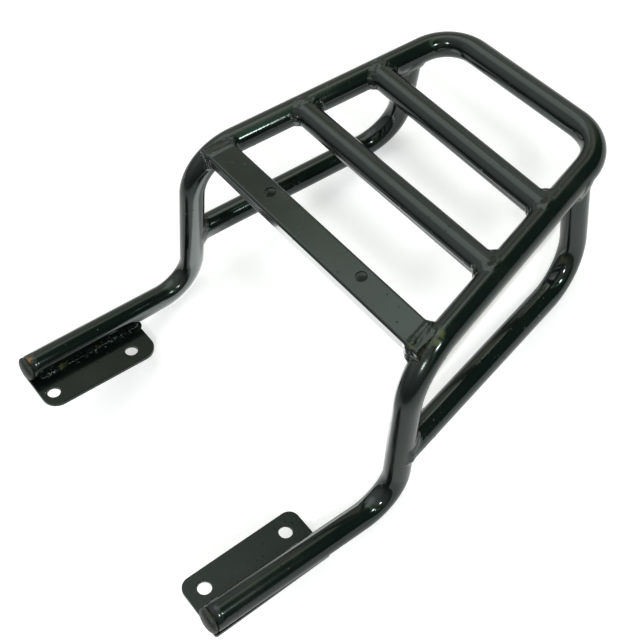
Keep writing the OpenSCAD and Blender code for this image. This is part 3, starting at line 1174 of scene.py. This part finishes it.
@dataclass
class Stage:
    """Floor, sky, lamps and camera."""

    camera_place: tuple[float, float, float] = (-0.33814, 0.19902, 0.51916)
    camera_axes: tuple[tuple[float, float, float], ...] = (
        (-0.63069, -0.76838, -0.10874),
        (0.62302, -0.58488, 0.51938),
        (-0.46268, 0.25983, 0.84759),
    )
    lens: float = 55.31
    floor_half: float = 3.0
    floor_gap: float = 0.0002
    floor_shine: float = 0.5
    sky_low: float = 0.28
    sky_rise: float = 0.62
    dark_depth: float = 0.86
    rim_tint: float = 0.8
    lamps: tuple[Lamp, ...] = (
        Lamp("window_a", (-0.57, 0.49, 0.65), 2.2),
        Lamp("window_b", (-0.70, -0.06, 0.70), 1.9),
    )

    def camera(self) -> None:
        """Place the camera that the rack is seen from."""
        data = bpy.data.cameras.new("front_view")
        data.lens = self.lens
        data.sensor_width = 36.0
        data.clip_start = 0.01
        camera = bpy.data.objects.new("front_view", data)
        right, up, back = self.camera_axes
        turn = Matrix((right, up, back)).transposed().to_4x4()
        camera.matrix_world = Matrix.Translation(self.camera_place) @ turn
        bpy.context.scene.collection.objects.link(camera)
        bpy.context.scene.camera = camera

    def rest_plane(self, nodes: dict[str, bpy.types.Object]) -> tuple[float, float]:
        """Plane that the rack stands on, level from left to right.

        Args:
            nodes: the CAD nodes by name.

        Returns:
            Height at Y = 0 and slope along Y.
        """
        clouds = []
        for node in nodes.values():
            co = np.empty(len(node.data.vertices) * 3, np.float32)
            node.data.vertices.foreach_get("co", co)
            clouds.append(co.reshape(-1, 3)[:, 1:].astype(float))
        pts = np.concatenate(clouds)
        pts = pts[np.argsort(pts[:, 0])]
        hull = []
        for p in pts[:: max(len(pts) // 60000, 1)]:
            while len(hull) > 1:
                a, b = hull[-2], hull[-1]
                if (b[0] - a[0]) * (p[1] - a[1]) - (b[1] - a[1]) * (p[0] - a[0]) > 0:
                    break
                hull.pop()
            hull.append(p)
        middle = pts[:, 0].mean()
        for a, b in zip(hull, hull[1:]):
            if a[0] <= middle <= b[0]:
                slope = (b[1] - a[1]) / (b[0] - a[0])
                return a[1] - slope * a[0], slope
        return pts[:, 1].min(), 0.0

    def floor(self, nodes: dict[str, bpy.types.Object]) -> None:
        """Pale floor under the rack, which shows white to the camera and keeps the shadow.

        Args:
            nodes: the CAD nodes by name.
        """
        height, slope = self.rest_plane(nodes)
        half = self.floor_half
        corners = ((-half, -half), (half, -half), (half, half), (-half, half))
        verts = [(x, y, height - self.floor_gap + slope * y) for x, y in corners]
        floor = make_mesh("floor", np.array(verts), np.array([[0, 1, 2, 3]]), smooth=False)
        material = bpy.data.materials.new("pale_floor")
        material.use_nodes = True
        g = Graph(material.node_tree)
        place = g.add("ShaderNodeTexCoord", out="Object")
        speck = g.noise(place, 700.0, 3.0, 0.7)
        tone = g.blend(speck.rise(0.3, 0.7), FLOOR_GREY, FLOOR_PALE)
        eye = g.add("ShaderNodeLightPath", out="Is Camera Ray")
        shiny = g.add("ShaderNodeLightPath", out="Is Glossy Ray")
        clear = g.add("ShaderNodeLightPath", out="Is Transmission Ray")
        strip = self._rail_strip(g, place)
        shown = eye.top(clear) * self.floor_shine * (1 - strip * (0.30 + speck * 0.40))
        seen = shown + shiny * (1 - eye) * self._floor_light(g, place)
        shaded = g.blend(strip * (0.35 + speck * 0.5), tone, FLOOR_SHADE)
        matt = g.add("ShaderNodeBsdfDiffuse", {}, {"Color": shaded})
        glow = g.add("ShaderNodeEmission", {}, {"Color": g.blend(strip, WHITE, BEIGE), "Strength": seen})
        both = g.add("ShaderNodeAddShader", {}, {0: matt, 1: glow})
        g.add("ShaderNodeOutputMaterial", {}, {"Surface": both})
        floor.data.materials.append(material)
        log.info("floor at %.4f, slope %.4f", height, slope)

    def _rail_strip(self, g: Graph, place: Wire) -> Wire:
        """Speckled strip of shade on the floor beside the left rail.

        Args:
            g: graph of the floor's material.
            place: place on the floor.

        Returns:
            1 in the strip, falling to 0 round it.
        """
        east, north = g.axis(place, 0), g.axis(place, 1)
        line = east + north * 0.126 + 0.0795
        ends = north.rise(-0.21, -0.16) * north.rise(0.0, -0.035)
        return (line * line).rise(0.000085, 0.000006) * ends

    def _floor_light(self, g: Graph, place: Wire) -> Wire:
        """Brightness of the floor as the gloss paint mirrors it.

        Args:
            g: graph of the floor's material.
            place: place on the floor.

        Returns:
            The brightness: high under the drilled crossbar, low by the left arm and at the left rear.
        """
        away = g.gap(place, (0.0, -0.03, -0.13)).rise(0.34, 0.13)
        flat = g.vector("MULTIPLY", place, (0.42, 1.0, 0.0))
        under_bar = g.gap(flat, (0.014, 0.058, 0.0)).rise(0.058, 0.032)
        left_arm = g.gap(place, (-0.15, 0.135, -0.138)).rise(0.15, 0.06)
        left_rear = (g.axis(place, 0) * -0.69 + g.axis(place, 1) * -0.72).rise(0.25, 0.6)
        return (0.26 + away * 0.28 + under_bar * 2.7) * (1 - left_arm * 0.62) * (1 - left_rear * 0.6)

    def sky(self) -> None:
        """Soft light all round, darker on one side; the camera sees it white."""
        world = bpy.data.worlds.new("soft_room")
        world.use_nodes = True
        bpy.context.scene.world = world
        g = Graph(world.node_tree)
        way = g.add("ShaderNodeTexCoord", out="Generated")
        across = g.dot(way, STREAK_ACROSS)
        shade = g.dot(way, tuple(unit(np.array(DARK_SIDE)))).rise(0.45, 0.72)
        rim = shade * (1 - shade) * 4
        base = g.axis(way, 2).rise(-0.1, 0.62) * self.sky_rise + self.sky_low
        light = (base * (1 + BEHIND.glow(g, way)) + ROOF.glow(g, way)) * (1 - shade * self.dark_depth)
        for dip in DIPS:
            light = light * (1 + dip.glow(g, way))
        light = light + (across * across).rise(0.0045, 0.0004) * STREAK.glow(g, way)
        plain = g.blend(WARM.glow(g, way), COOL_WHITE, WARM_WHITE)
        tint = g.blend(rim * self.rim_tint, g.blend(shade, plain, DARK_GREEN), RIM_YELLOW)
        room = g.add("ShaderNodeBackground", {}, {"Color": tint, "Strength": light})
        white = g.add("ShaderNodeBackground", {}, {"Color": WHITE, "Strength": 1.0})
        eye = g.add("ShaderNodeLightPath", out="Is Camera Ray")
        mixed = g.add("ShaderNodeMixShader", {}, {0: eye, 1: room, 2: white})
        g.add("ShaderNodeOutputWorld", {}, {"Surface": mixed})

    def build(self, nodes: dict[str, bpy.types.Object]) -> None:
        """Set the whole stage.

        Args:
            nodes: the CAD nodes by name.
        """
        bpy.context.scene.view_settings.view_transform = "Standard"
        self.camera()
        self.floor(nodes)
        self.sky()
        for lamp in self.lamps:
            lamp.build()


# Sub-assemblies


@dataclass
class Frame:
    """The hoop and its two braces, drawn again with pressed bends."""

    rack: Rack
    paint: bpy.types.Material
    brace_paint: bpy.types.Material
    press: float = 1.5
    brace_press: float = 0.7
    swell: float = 0.12

    def tube(
        self, name: str, path: Path, radius: float, press: float, paint: bpy.types.Material
    ) -> bpy.types.Object:
        """Draw one tube.

        Args:
            name: name of the piece.
            path: its centreline.
            radius: outside radius in mm.
            press: depth of the press mark inside a bend, in mm.
            paint: its finish.

        Returns:
            The tube.
        """
        wall, swell = self.rack.wall * MM, self.swell * MM
        return TubeSweep().draw(name, path, radius * MM, wall, press * MM, swell, paint)

    def build(self) -> list[bpy.types.Object]:
        """Draw the tubes and put them in the place of their nodes.

        Returns:
            The pieces.
        """
        rack = self.rack
        made = [(self.tube("hoop_tube", rack.hoop(), rack.tube_r, self.press, self.paint), "main_hoop")]
        for side in Side:
            name = f"{side.word}_brace_tube"
            piece = self.tube(name, rack.brace(side), rack.branch_r, self.brace_press, self.brace_paint)
            made.append((piece, f"{side.word}_brace"))
        for piece, node in made:
            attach(piece, "root")
            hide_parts(node)
            log.info("%s: %d faces", piece.name, len(piece.data.polygons))
        return [piece for piece, _ in made]


@dataclass(frozen=True)
class PlateSeam:
    """How the bead between an arm and its plate was laid, in mm."""

    run: float
    back: float
    lift: float
    out: float
    bead: dict[str, float]


PLATE_SEAMS = {
    Side.LEFT: PlateSeam(
        run=90.0,
        back=4.0,
        lift=0.3,
        out=0.0,
        bead={"radius": 0.75, "fillet": 1.0, "lump": 0.05, "voxel": 0.3, "reach": 1.4},
    ),
    Side.RIGHT: PlateSeam(
        run=82.0,
        back=7.0,
        lift=0.9,
        out=0.5,
        bead={"radius": 2.0, "fillet": 3.6, "lump": 0.42, "reach": 4.2},
    ),
}


@dataclass
class Welds:
    """Every weld bead of the rack."""

    rack: Rack
    paint: bpy.types.Material
    # Pale paint of the left plate's thin bead: a painted highlight line
    pale: bpy.types.Material
    lumps: dict[str, tuple[tuple[float, float, float, float], ...]] = field(default_factory=dict)
    stand_off: float = 0.3
    flush_sink: float = 2.2
    flush_thinning: float = 0.45

    def saddle(self, p: np.ndarray, a: np.ndarray, o: np.ndarray, b: np.ndarray) -> np.ndarray:
        """Closed seam where a branch tube meets a run.

        Args:
            p: point on the branch axis.
            a: direction of the branch away from the run.
            o: point on the run's axis.
            b: direction of the run.

        Returns:
            Seam points in mm, each with the girth factor of the bead; the last one repeats the first.
        """
        rack = self.rack
        n = unit(np.cross(a, b))
        m = np.cross(n, a)
        v = a - (a @ b) * b
        out = []
        for t in np.linspace(0, 2 * math.pi, 96, endpoint=False):
            way = n * math.cos(t) + m * math.sin(t)
            c = rack.branch_r * way
            w = p + c - o - ((p + c - o) @ b) * b
            root = max((w @ v) ** 2 - (v @ v) * (w @ w - rack.tube_r**2), 0)
            s = (math.sqrt(root) - w @ v) / (v @ v)
            run_n = unit(w + s * v)
            flush = max(run_n @ way, 0)
            off = self.stand_off - flush * (self.stand_off + self.flush_sink)
            spot = p + c + s * a + unit(run_n + way) * off
            out.append([*spot, 1.0 - self.flush_thinning * flush])
        return np.array(out + out[:1])

    def box_seams(self, side: Side) -> list[np.ndarray]:
        """Seam round one end of the drilled crossbar, and the fill down to the falling bend.

        Args:
            side: side of the rack.

        Returns:
            Seams of points in mm with the girth factor of the bead.
        """
        rack = self.rack
        y0, y1 = rack.box_y - rack.box_depth / 2 - 0.2, rack.box_y + rack.box_depth / 2 - 0.3
        z0, z1 = -rack.box_height + 0.8, -2.4
        corners = [(y0, z1, 0.55), (y1, z1, 0.8), (y1, z0, 1.1), (y0, z0, 1.0)]
        turn = math.atan2(-rack.rail_dir[0], -rack.rail_dir[1])
        run = self.front_run(side)
        ring, fill = [], []
        for (ya, za, fa), (yb, zb, fb) in zip(corners, corners[1:] + corners[:1]):
            for k in range(16):
                t = k / 16
                y, z = ya + (yb - ya) * t, za + (zb - za) * t
                toed = (rack.front[1] - y) * math.tan(turn)
                x = rack.front[0] - toed - (rack.tube_r + 0.2) / math.cos(turn)
                spot = side.of([x, y, z])
                flat = 0.2 * math.sin(math.pi * t) if za == zb == z1 else 0
                ring.append([*spot, fa + (fb - fa) * t - flat])
                axis_pt = run.ring_point(spot)
                gap = np.linalg.norm(axis_pt - spot) - rack.tube_r
                if gap > 0.8:
                    foot = spot + unit(axis_pt - spot) * (gap + 0.6)
                    fill.append(np.array([[*spot, 1.0], [*foot, 1.0]]))
        return [np.array(ring + ring[:1])] + fill

    def front_run(self, side: Side) -> BentRun:
        """Leg, front bend and rail.

        Args:
            side: side of the rack.

        Returns:
            Their body.
        """
        rack = self.rack
        points = (side.of(p) for p in (rack.foot, rack.front, rack.rear))
        return BentRun(*points, rack.front_bend_r, rack.tube_r)

    def rear_run(self, side: Side) -> BentRun:
        """Rail, rear corner and rear bar.

        Args:
            side: side of the rack.

        Returns:
            Their body.
        """
        rack = self.rack
        points = (side.of(p) for p in (rack.front, rack.rear, Side.LEFT.of(rack.rear)))
        return BentRun(*points, rack.corner_bend_r, rack.tube_r)

    def beads(self) -> list[tuple[WeldBead, str]]:
        """All beads of the rack.

        Returns:
            Each bead with the node that it stands for.
        """
        rack = self.rack
        out = []
        middle = rack.deck_len - rack.middle_bar_set
        rear = rack.deck_len - rack.rear_bar_set
        for k, side in enumerate(Side):
            rail = Rod(side.of(rack.front), unit(side.of(rack.rail_dir)), rack.tube_r)
            bars = (("middle", middle, rack.middle_bar_skew), ("rear", rear, rack.rear_bar_skew))
            for word, back, skew in bars:
                here = side.of(rack.rail_at(back + side.value * skew))
                there = Side.LEFT.of(side.of(rack.rail_at(back - side.value * skew)))
                a = unit(there - here)
                seam = self.saddle(here, a, here, rail.direction)
                branch = Rod(here, a, rack.branch_r, 0.0)
                node = f"{word}_crossbar_weld_{side.word}"
                seed, blobs = 11 + 7 * k + len(out), self.lumps.get(node, ())
                out.append((WeldBead(f"{node}_bead", [seam], [rail, branch], seed=seed, blobs=blobs), node))
            leg = Rod(side.of(rack.front), unit(side.of(rack.leg_dir)), rack.tube_r)
            root, heel, head = (side.of(p) for p in (rack.root, rack.heel, rack.head))
            a = unit(heel - root)
            seam = self.saddle(root, a, side.of(rack.front), leg.direction)
            node = f"brace_root_weld_{side.word}"
            tube = Rod(root, a, rack.branch_r, 0.0)
            out.append((WeldBead(f"{node}_bead", [seam], [leg, tube], seed=31 + k, lump=0.34), node))
            a = unit(heel - head)
            seam = self.saddle(head, a, head, rail.direction)
            node = f"brace_head_weld_{side.word}"
            tube = Rod(head, a, rack.branch_r, 0.0)
            bead = WeldBead(f"{node}_bead", [seam], [self.rear_run(side), tube], seed=41 + k, lump=0.45)
            out.append((bead, node))
            beam = Beam(rack.box_y, -rack.box_height / 2, rack.box_depth, rack.box_height, 2.0)
            node = f"front_crossbar_weld_{side.word}"
            fill = tuple((side.value * x, y, z, r) for x, y, z, r in CORNER_FILL)
            bead = WeldBead(
                f"{node}_bead",
                self.box_seams(side),
                [self.front_run(side), beam],
                seed=51 + k,
                ripple=0.0,
                lump=0.24,
                blobs=self.lumps.get(node, ()) + fill,
            )
            out.append((bead, node))
            out.append(self.plate_bead(side, 61 + k))
        return out

    def plate_bead(self, side: Side, seed: int) -> tuple[WeldBead, str]:
        """Bead in the corner between an arm and its plate.

        Args:
            side: side of the rack.
            seed: seed of its lumps.

        Returns:
            The bead and its node.
        """
        rack = self.rack
        rise = math.radians(rack.arm_rise)
        up = np.array([0, -math.sin(rise), math.cos(rise)])
        arm = Rod(side.of(rack.foot), unit(side.of(rack.arm_dir)), rack.tube_r)
        top = rack.foot - up * (rack.tube_r - rack.plate_bed)
        slab = Slab(side.of(top), up)
        across = unit(np.cross(arm.direction, up)) * -side.value
        if across[0] * side.value > 0:
            across = -across
        laid = PLATE_SEAMS[side]
        start = side.of(rack.foot) + arm.direction * (rack.arm_length(side) - laid.back - laid.run)
        base = -(rack.tube_r - rack.plate_bed) + laid.lift
        off = math.sqrt(max((rack.tube_r + self.stand_off) ** 2 - base**2, 0)) + laid.out
        steps = np.linspace(0, laid.run, 61)
        seam = [[*(start + arm.direction * step + across * off + up * base), 1.0] for step in steps]
        node = f"plate_weld_{side.word}"
        blobs = self.lumps.get(node, ())
        bead = WeldBead(f"{node}_bead", [np.array(seam)], [arm, slab], seed=seed, blobs=blobs, **laid.bead)
        return bead, node

    def build(self) -> None:
        """Make every bead and put it in the place of its node."""
        for bead, node in self.beads():
            piece = bead.build()
            # The left plate's thin bead takes the pale paint: a painted highlight line along the arm and
            # plate junction
            piece.data.materials.append(self.pale if node == "plate_weld_left" else self.paint)
            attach(piece, "root")
            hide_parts(node)
            log.info("%s: %d faces", piece.name, len(piece.data.polygons))


@dataclass
class Plates:
    """The two drilled mounting plates, cut from sheet with softened edges."""

    rack: Rack
    paint: bpy.types.Material
    soften: float = 0.45

    def outline(self, corner_r: float) -> list[list[tuple[float, float]]]:
        """Closed outline of the right plate in its own plane, in mm.

        Args:
            corner_r: radius of the two corners under the free edge.

        Returns:
            A list that holds the outline.
        """
        rack = self.rack
        w, length = rack.plate_w, rack.plate_len
        corners = [
            (0, 0, corner_r, 180),
            (w, 0, rack.plate_back_r, 270),
            (w, length, rack.plate_back_r, 0),
            (0, length, corner_r, 90),
        ]
        edge = []
        for x, y, r, start in corners:
            cx = x + r if x == 0 else x - r
            cy = y + r if y == 0 else y - r
            for k in range(13):
                t = math.radians(start + 90 * k / 12)
                edge.append((cx + r * math.cos(t), cy + r * math.sin(t)))
        return [edge]

    def hole_ring(self, x: float, y: float) -> list[tuple[float, float]]:
        """Ring of one bolt hole.

        Args:
            x: place across the plate in mm.
            y: place along the plate in mm.

        Returns:
            The ring's points.
        """
        turns = (2 * math.pi * k / 48 for k in range(48))
        r = self.rack.plate_hole_r
        return [(x + r * math.cos(t), y + r * math.sin(t)) for t in turns]

    def make(self, side: Side) -> bpy.types.Object:
        """Cut and place one plate.

        Args:
            side: side of the rack.

        Returns:
            The plate.
        """
        rack = self.rack
        past = rack.left_plate_past if side is Side.LEFT else rack.right_plate_past
        end = rack.arm_length(side) + past
        loops = self.outline(rack.left_plate_corner_r if side is Side.LEFT else rack.plate_corner_r)
        far = rack.arm_len - rack.plate_hole_back
        for along in (far - rack.plate_hole_pitch, far):
            loops.append(self.hole_ring(rack.plate_hole_edge, along + rack.plate_len - end))
        curve = bpy.data.curves.new(f"{side.word}_plate_cut", "CURVE")
        curve.dimensions = "2D"
        curve.fill_mode = "BOTH"
        curve.extrude = (rack.plate_t / 2 - self.soften) * MM
        curve.bevel_depth = self.soften * MM
        curve.bevel_resolution = 3
        curve.offset = -self.soften * MM
        for loop in loops:
            spline = curve.splines.new("POLY")
            spline.points.add(len(loop) - 1)
            for point, (x, y) in zip(spline.points, loop):
                point.co = (x * MM, y * MM, 0, 1)
            spline.use_cyclic_u = True
        source = bpy.data.objects.new(f"{side.word}_plate_cut", curve)
        bpy.context.scene.collection.objects.link(source)
        plate = frozen_mesh(source, f"{side.word}_plate")
        rise = math.radians(rack.arm_rise)
        inner = (rack.plate_hole_w - rack.foot_w) / 2 - rack.plate_hole_edge
        corner = Vector((inner, end - rack.plate_len, 0)) * MM
        drop = Vector((0, 0, -(rack.tube_r - rack.plate_bed) - rack.plate_t / 2)) * MM
        place = (
            Matrix.Translation(Vector(rack.foot) * MM)
            @ Matrix.Rotation(rise, 4, "X")
            @ Matrix.Translation(corner + drop)
        )
        if side is Side.LEFT:
            place = Matrix.Scale(-1, 4, (1, 0, 0)) @ place
        plate.data.transform(place)
        if side is Side.LEFT:
            plate.data.flip_normals()
        return plate

    def build(self) -> dict[Side, bpy.types.Object]:
        """Make both plates.

        Returns:
            The plates by side.
        """
        made = {}
        for side in Side:
            plate = self.make(side)
            plate.data.materials.clear()
            plate.data.materials.append(self.paint)
            for polygon in plate.data.polygons:
                polygon.material_index = 0
            plate.data.shade_smooth()
            plate.data.set_sharp_from_angle(angle=math.radians(50))
            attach(plate, "root")
            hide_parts(f"{side.word}_mounting_plate")
            log.info("%s: %d faces", plate.name, len(plate.data.polygons))
            made[side] = plate
        return made


@dataclass
class Spatter:
    """Geometry Nodes tree that scatters small drops of weld spatter under the paint."""

    paint: bpy.types.Material
    density: float = 150000.0
    smallest: float = 0.00016
    largest: float = 0.00075

    def tree(self) -> tuple[bpy.types.NodeTree, dict[str, str]]:
        """Build the node tree.

        Returns:
            The tree, and the identifier of each named input.
        """
        tree = bpy.data.node_groups.new("weld_spatter", "GeometryNodeTree")
        ports = {}
        tree.interface.new_socket(name="Drops", in_out="OUTPUT", socket_type="NodeSocketGeometry")
        tree.interface.new_socket(name="Skin", in_out="INPUT", socket_type="NodeSocketGeometry")
        for name, kind in (
            ("Drops per square metre", "NodeSocketFloat"),
            ("Smallest radius", "NodeSocketFloat"),
            ("Largest radius", "NodeSocketFloat"),
            ("Seed", "NodeSocketInt"),
            ("Finish", "NodeSocketMaterial"),
        ):
            ports[name] = tree.interface.new_socket(name=name, in_out="INPUT", socket_type=kind).identifier
        g = Graph(tree)
        entry = g.add("NodeGroupInput").socket.node
        port = {name: Wire(g, entry.outputs[name]) for name in ("Skin", *ports)}
        heat = g.add("GeometryNodeInputNamedAttribute", {"data_type": "FLOAT"}, {"Name": "near_weld"})
        spots = g.add(
            "GeometryNodeDistributePointsOnFaces",
            {},
            {"Mesh": port["Skin"], "Density": heat * port["Drops per square metre"], "Seed": port["Seed"]},
        )
        turn = Wire(g, spots.socket.node.outputs["Rotation"])
        drop = g.add("GeometryNodeMeshIcoSphere", {}, {"Radius": 1.0, "Subdivisions": 2})
        chance = g.add("FunctionNodeRandomValue", {"data_type": "FLOAT"}, {"Seed": port["Seed"]}, 1)
        width = port["Smallest radius"] + (port["Largest radius"] - port["Smallest radius"]) * chance**3.0
        size = g.add("ShaderNodeCombineXYZ", {}, {0: width, 1: width, 2: width * 0.8})
        drops = g.add(
            "GeometryNodeInstanceOnPoints",
            {},
            {"Points": spots, "Instance": drop, "Rotation": turn, "Scale": size},
        )
        whole = g.add("GeometryNodeRealizeInstances", {}, {"Geometry": drops})
        smooth = g.add("GeometryNodeSetShadeSmooth", {}, {"Geometry": whole, "Shade Smooth": True})
        dressed = g.add("GeometryNodeSetMaterial", {}, {"Geometry": smooth, "Material": port["Finish"]})
        g.add("NodeGroupOutput", {}, {"Drops": dressed})
        return tree, ports

    def scatter(
        self, name: str, carrier: bpy.types.Object, spots: tuple[tuple[float, ...], ...], seed: int
    ) -> None:
        """Scatter drops on one piece.

        Args:
            name: name of the new piece.
            carrier: piece that the drops sit on.
            spots: places in metres, each with its reach and share of the density.
            seed: seed of the scatter.
        """
        mesh = carrier.data.copy()
        co = np.empty(len(mesh.vertices) * 3, np.float32)
        mesh.vertices.foreach_get("co", co)
        co = co.reshape(-1, 3)
        heat = np.zeros(len(co))
        for x, y, z, reach, share in spots:
            gap = np.linalg.norm(co - (x, y, z), axis=1)
            heat = np.maximum(heat, share * smoothstep(1.0, 0.2, gap / reach))
        near_weld = mesh.attributes.new("near_weld", "FLOAT", "POINT")
        near_weld.data.foreach_set("value", heat.astype(np.float32))
        source = bpy.data.objects.new(name + "_skin", mesh)
        bpy.context.scene.collection.objects.link(source)
        tree, ports = self.tree()
        modifier = source.modifiers.new("spatter", "NODES")
        modifier.node_group = tree
        modifier[ports["Drops per square metre"]] = self.density
        modifier[ports["Smallest radius"]] = self.smallest
        modifier[ports["Largest radius"]] = self.largest
        modifier[ports["Seed"]] = seed
        modifier[ports["Finish"]] = self.paint
        piece = frozen_mesh(source, name)
        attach(piece, "root")
        log.info("%s: %d faces", piece.name, len(piece.data.polygons))


@dataclass
class Caps:
    """Domed plastic caps in the open ends of the arms, with nicks in their rims."""

    rack: Rack
    plastic: bpy.types.Material
    radius: float = 9.35
    gap: float = 0.8
    skirt: float = 1.6
    dome: float = 3.4
    plug: float = 11.0
    plug_wall: float = 1.6
    plug_lead: float = 1.6
    edge: float = 0.5
    sides: int = 72

    def profile(self) -> list[tuple[float, float]]:
        """Outline that is turned into a cap, from inside the plug round to the dome.

        Returns:
            Radius and distance past the tube's end of each point, in mm.
        """
        bore = self.rack.tube_r - self.rack.wall
        inside, lead, edge = bore - self.plug_wall, self.plug_lead, self.edge
        out = [(inside, self.gap), (inside, -self.plug), (bore - lead / 2, -self.plug)]
        out += [(bore, -self.plug + lead), (bore, self.gap)]
        out += [(self.radius - edge, self.gap), (self.radius, self.gap + edge)]
        top = self.gap + self.skirt
        out.append((self.radius, top))
        for k in range(1, 13):
            t = math.pi / 2 * k / 12
            out.append((self.radius * math.cos(t) ** 0.85, top + self.dome * math.sin(t)))
        return out[:-1]

    def make(self, side: Side, nicks: tuple[tuple[float, float, float], ...]) -> bpy.types.Object:
        """Turn one cap.

        Args:
            side: side of the rack.
            nicks: angle in degrees, half width in degrees and depth in mm of each nick.

        Returns:
            The cap.
        """
        rack = self.rack
        axis = unit(side.of(rack.arm_dir))
        base = side.of(rack.foot) + axis * rack.arm_length(side)
        u = unit(np.cross([0, 0, 1], axis))
        v = np.cross(axis, u)
        shape = self.profile()
        outer = next(j for j, (r, _) in enumerate(shape) if r > rack.tube_r - rack.wall)
        rings = []
        for j, (r, h) in enumerate(shape):
            t = np.linspace(0, 2 * math.pi, self.sides, endpoint=False)
            radius = np.full(self.sides, r)
            if j >= outer:
                for angle, half, depth in nicks:
                    off = np.degrees(np.abs((t - math.radians(angle) + math.pi) % (2 * math.pi) - math.pi))
                    radius -= depth * smoothstep(half, half * 0.25, off) * (r / self.radius) ** 3
            ring = base + axis * h + radius[:, None] * (np.cos(t)[:, None] * u + np.sin(t)[:, None] * v)
            rings.append(ring)
        top = self.gap + self.skirt + self.dome
        verts = np.vstack(rings + [base + axis * self.gap, base + axis * top])
        n, m = self.sides, len(rings)
        faces = []
        for j in range(m - 1):
            for i in range(n):
                a, b = j * n + i, j * n + (i + 1) % n
                faces.append((a, b, b + n, a + n))
        for i in range(n):
            faces.append((n * m, (i + 1) % n, i))
            faces.append((n * m + 1, (m - 1) * n + i, (m - 1) * n + (i + 1) % n))
        mesh = bpy.data.meshes.new(f"{side.word}_cap")
        mesh.from_pydata([tuple(p * MM) for p in verts], [], faces)
        mesh.update()
        mesh.shade_smooth()
        mesh.set_sharp_from_angle(angle=math.radians(55))
        piece = bpy.data.objects.new(f"{side.word}_cap", mesh)
        bpy.context.scene.collection.objects.link(piece)
        return piece

    def build(self) -> None:
        """Make both caps."""
        nicks = {
            Side.LEFT: ((196.0, 9.0, 0.9), (318.0, 6.0, 0.6)),
            Side.RIGHT: ((212.0, 8.0, 1.5), (247.0, 7.0, 1.2), (120.0, 6.0, 0.6)),
        }
        for side in Side:
            cap = self.make(side, nicks[side])
            cap.data.materials.append(self.plastic)
            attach(cap, "root")
            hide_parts(f"{side.word}_end_cap")
            log.info("%s: %d faces", cap.name, len(cap.data.polygons))


def dress(node: bpy.types.Object, material: bpy.types.Material) -> None:
    """Give a CAD node its finish."""
    node.data.materials.clear()
    node.data.materials.append(material)


def main() -> None:
    """Build the scene in order."""
    logging.basicConfig(level=logging.INFO, format="%(name)s: %(message)s")
    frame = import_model()
    nodes = frame["nodes"]
    rack = Rack()
    tube_paint = GlossPaint("tube_paint", stains=TUBE_STAINS_AND_SHEEN).make()
    brace_paint = GlossPaint("brace_paint", nib_share=0.24, nib_height=0.0002, stains=BRACE_STAINS).make()
    bar_paint = GlossPaint("bar_paint").make()
    inside_box = ((0.0, 0.002, -0.006), (0.2, 0.00935, 0.0046))
    box_paint = GlossPaint("box_paint", stains=BOX_STAINS, peel_height=0.00002, bare_box=inside_box).make()
    plate_paint = GlossPaint(
        "plate_paint", cast=(0.52, 0.61, 0.58, 1), peel_height=0.00004, stains=PLATE_STAINS
    ).make()
    weld_paint = GlossPaint(
        "weld_paint", peel_height=0.00006, nib_share=0.3, gloss=0.07, stains=WELD_STAINS_AND_SHEEN
    ).make()
    # Pale grey paint that stands for light: a painted highlight line on the left plate's bead and painted
    # glints on the pale spatter flecks
    pale = GlossPaint("edge_line", colour=(0.30, 0.31, 0.30, 1), haze=(0.16, 0.17, 0.16, 1)).make()
    plastic = CapPlastic("cap_plastic").make()
    hoop, left_brace, _ = Frame(rack, tube_paint, brace_paint).build()
    plates = Plates(rack, plate_paint).build()
    Caps(rack, plastic).build()
    Welds(rack, weld_paint, pale, LUMPS).build()
    drops = Spatter(weld_paint)
    drops.scatter("hoop_spatter", hoop, HOOP_SPATTER, 3)
    drops.scatter("left_brace_spatter", left_brace, BRACE_SPATTER, 5)
    drops.scatter("right_plate_spatter", plates[Side.RIGHT], PLATE_SPATTER, 8)
    # Pale drops near the welds of the right plate and left brace: painted glints in place of small
    # highlights
    painted_glint_spatter = Spatter(pale, density=14000.0, smallest=0.0002, largest=0.00055)
    painted_glint_spatter.scatter("right_plate_flecks", plates[Side.RIGHT], PLATE_SPATTER, 21)
    fine = Spatter(pale, density=6000.0, smallest=0.00015, largest=0.0004)
    fine.scatter("left_brace_flecks", left_brace, BRACE_SPATTER, 22)
    dress(nodes["front_crossbar"], box_paint)
    for name in ("middle_crossbar", "rear_crossbar"):
        dress(nodes[name], bar_paint)
    for node in nodes.values():
        if not node.data.materials or node.data.materials[0] is None:
            dress(node, bar_paint)
    Stage().build(nodes)


if __name__ == "__main__":
    main()
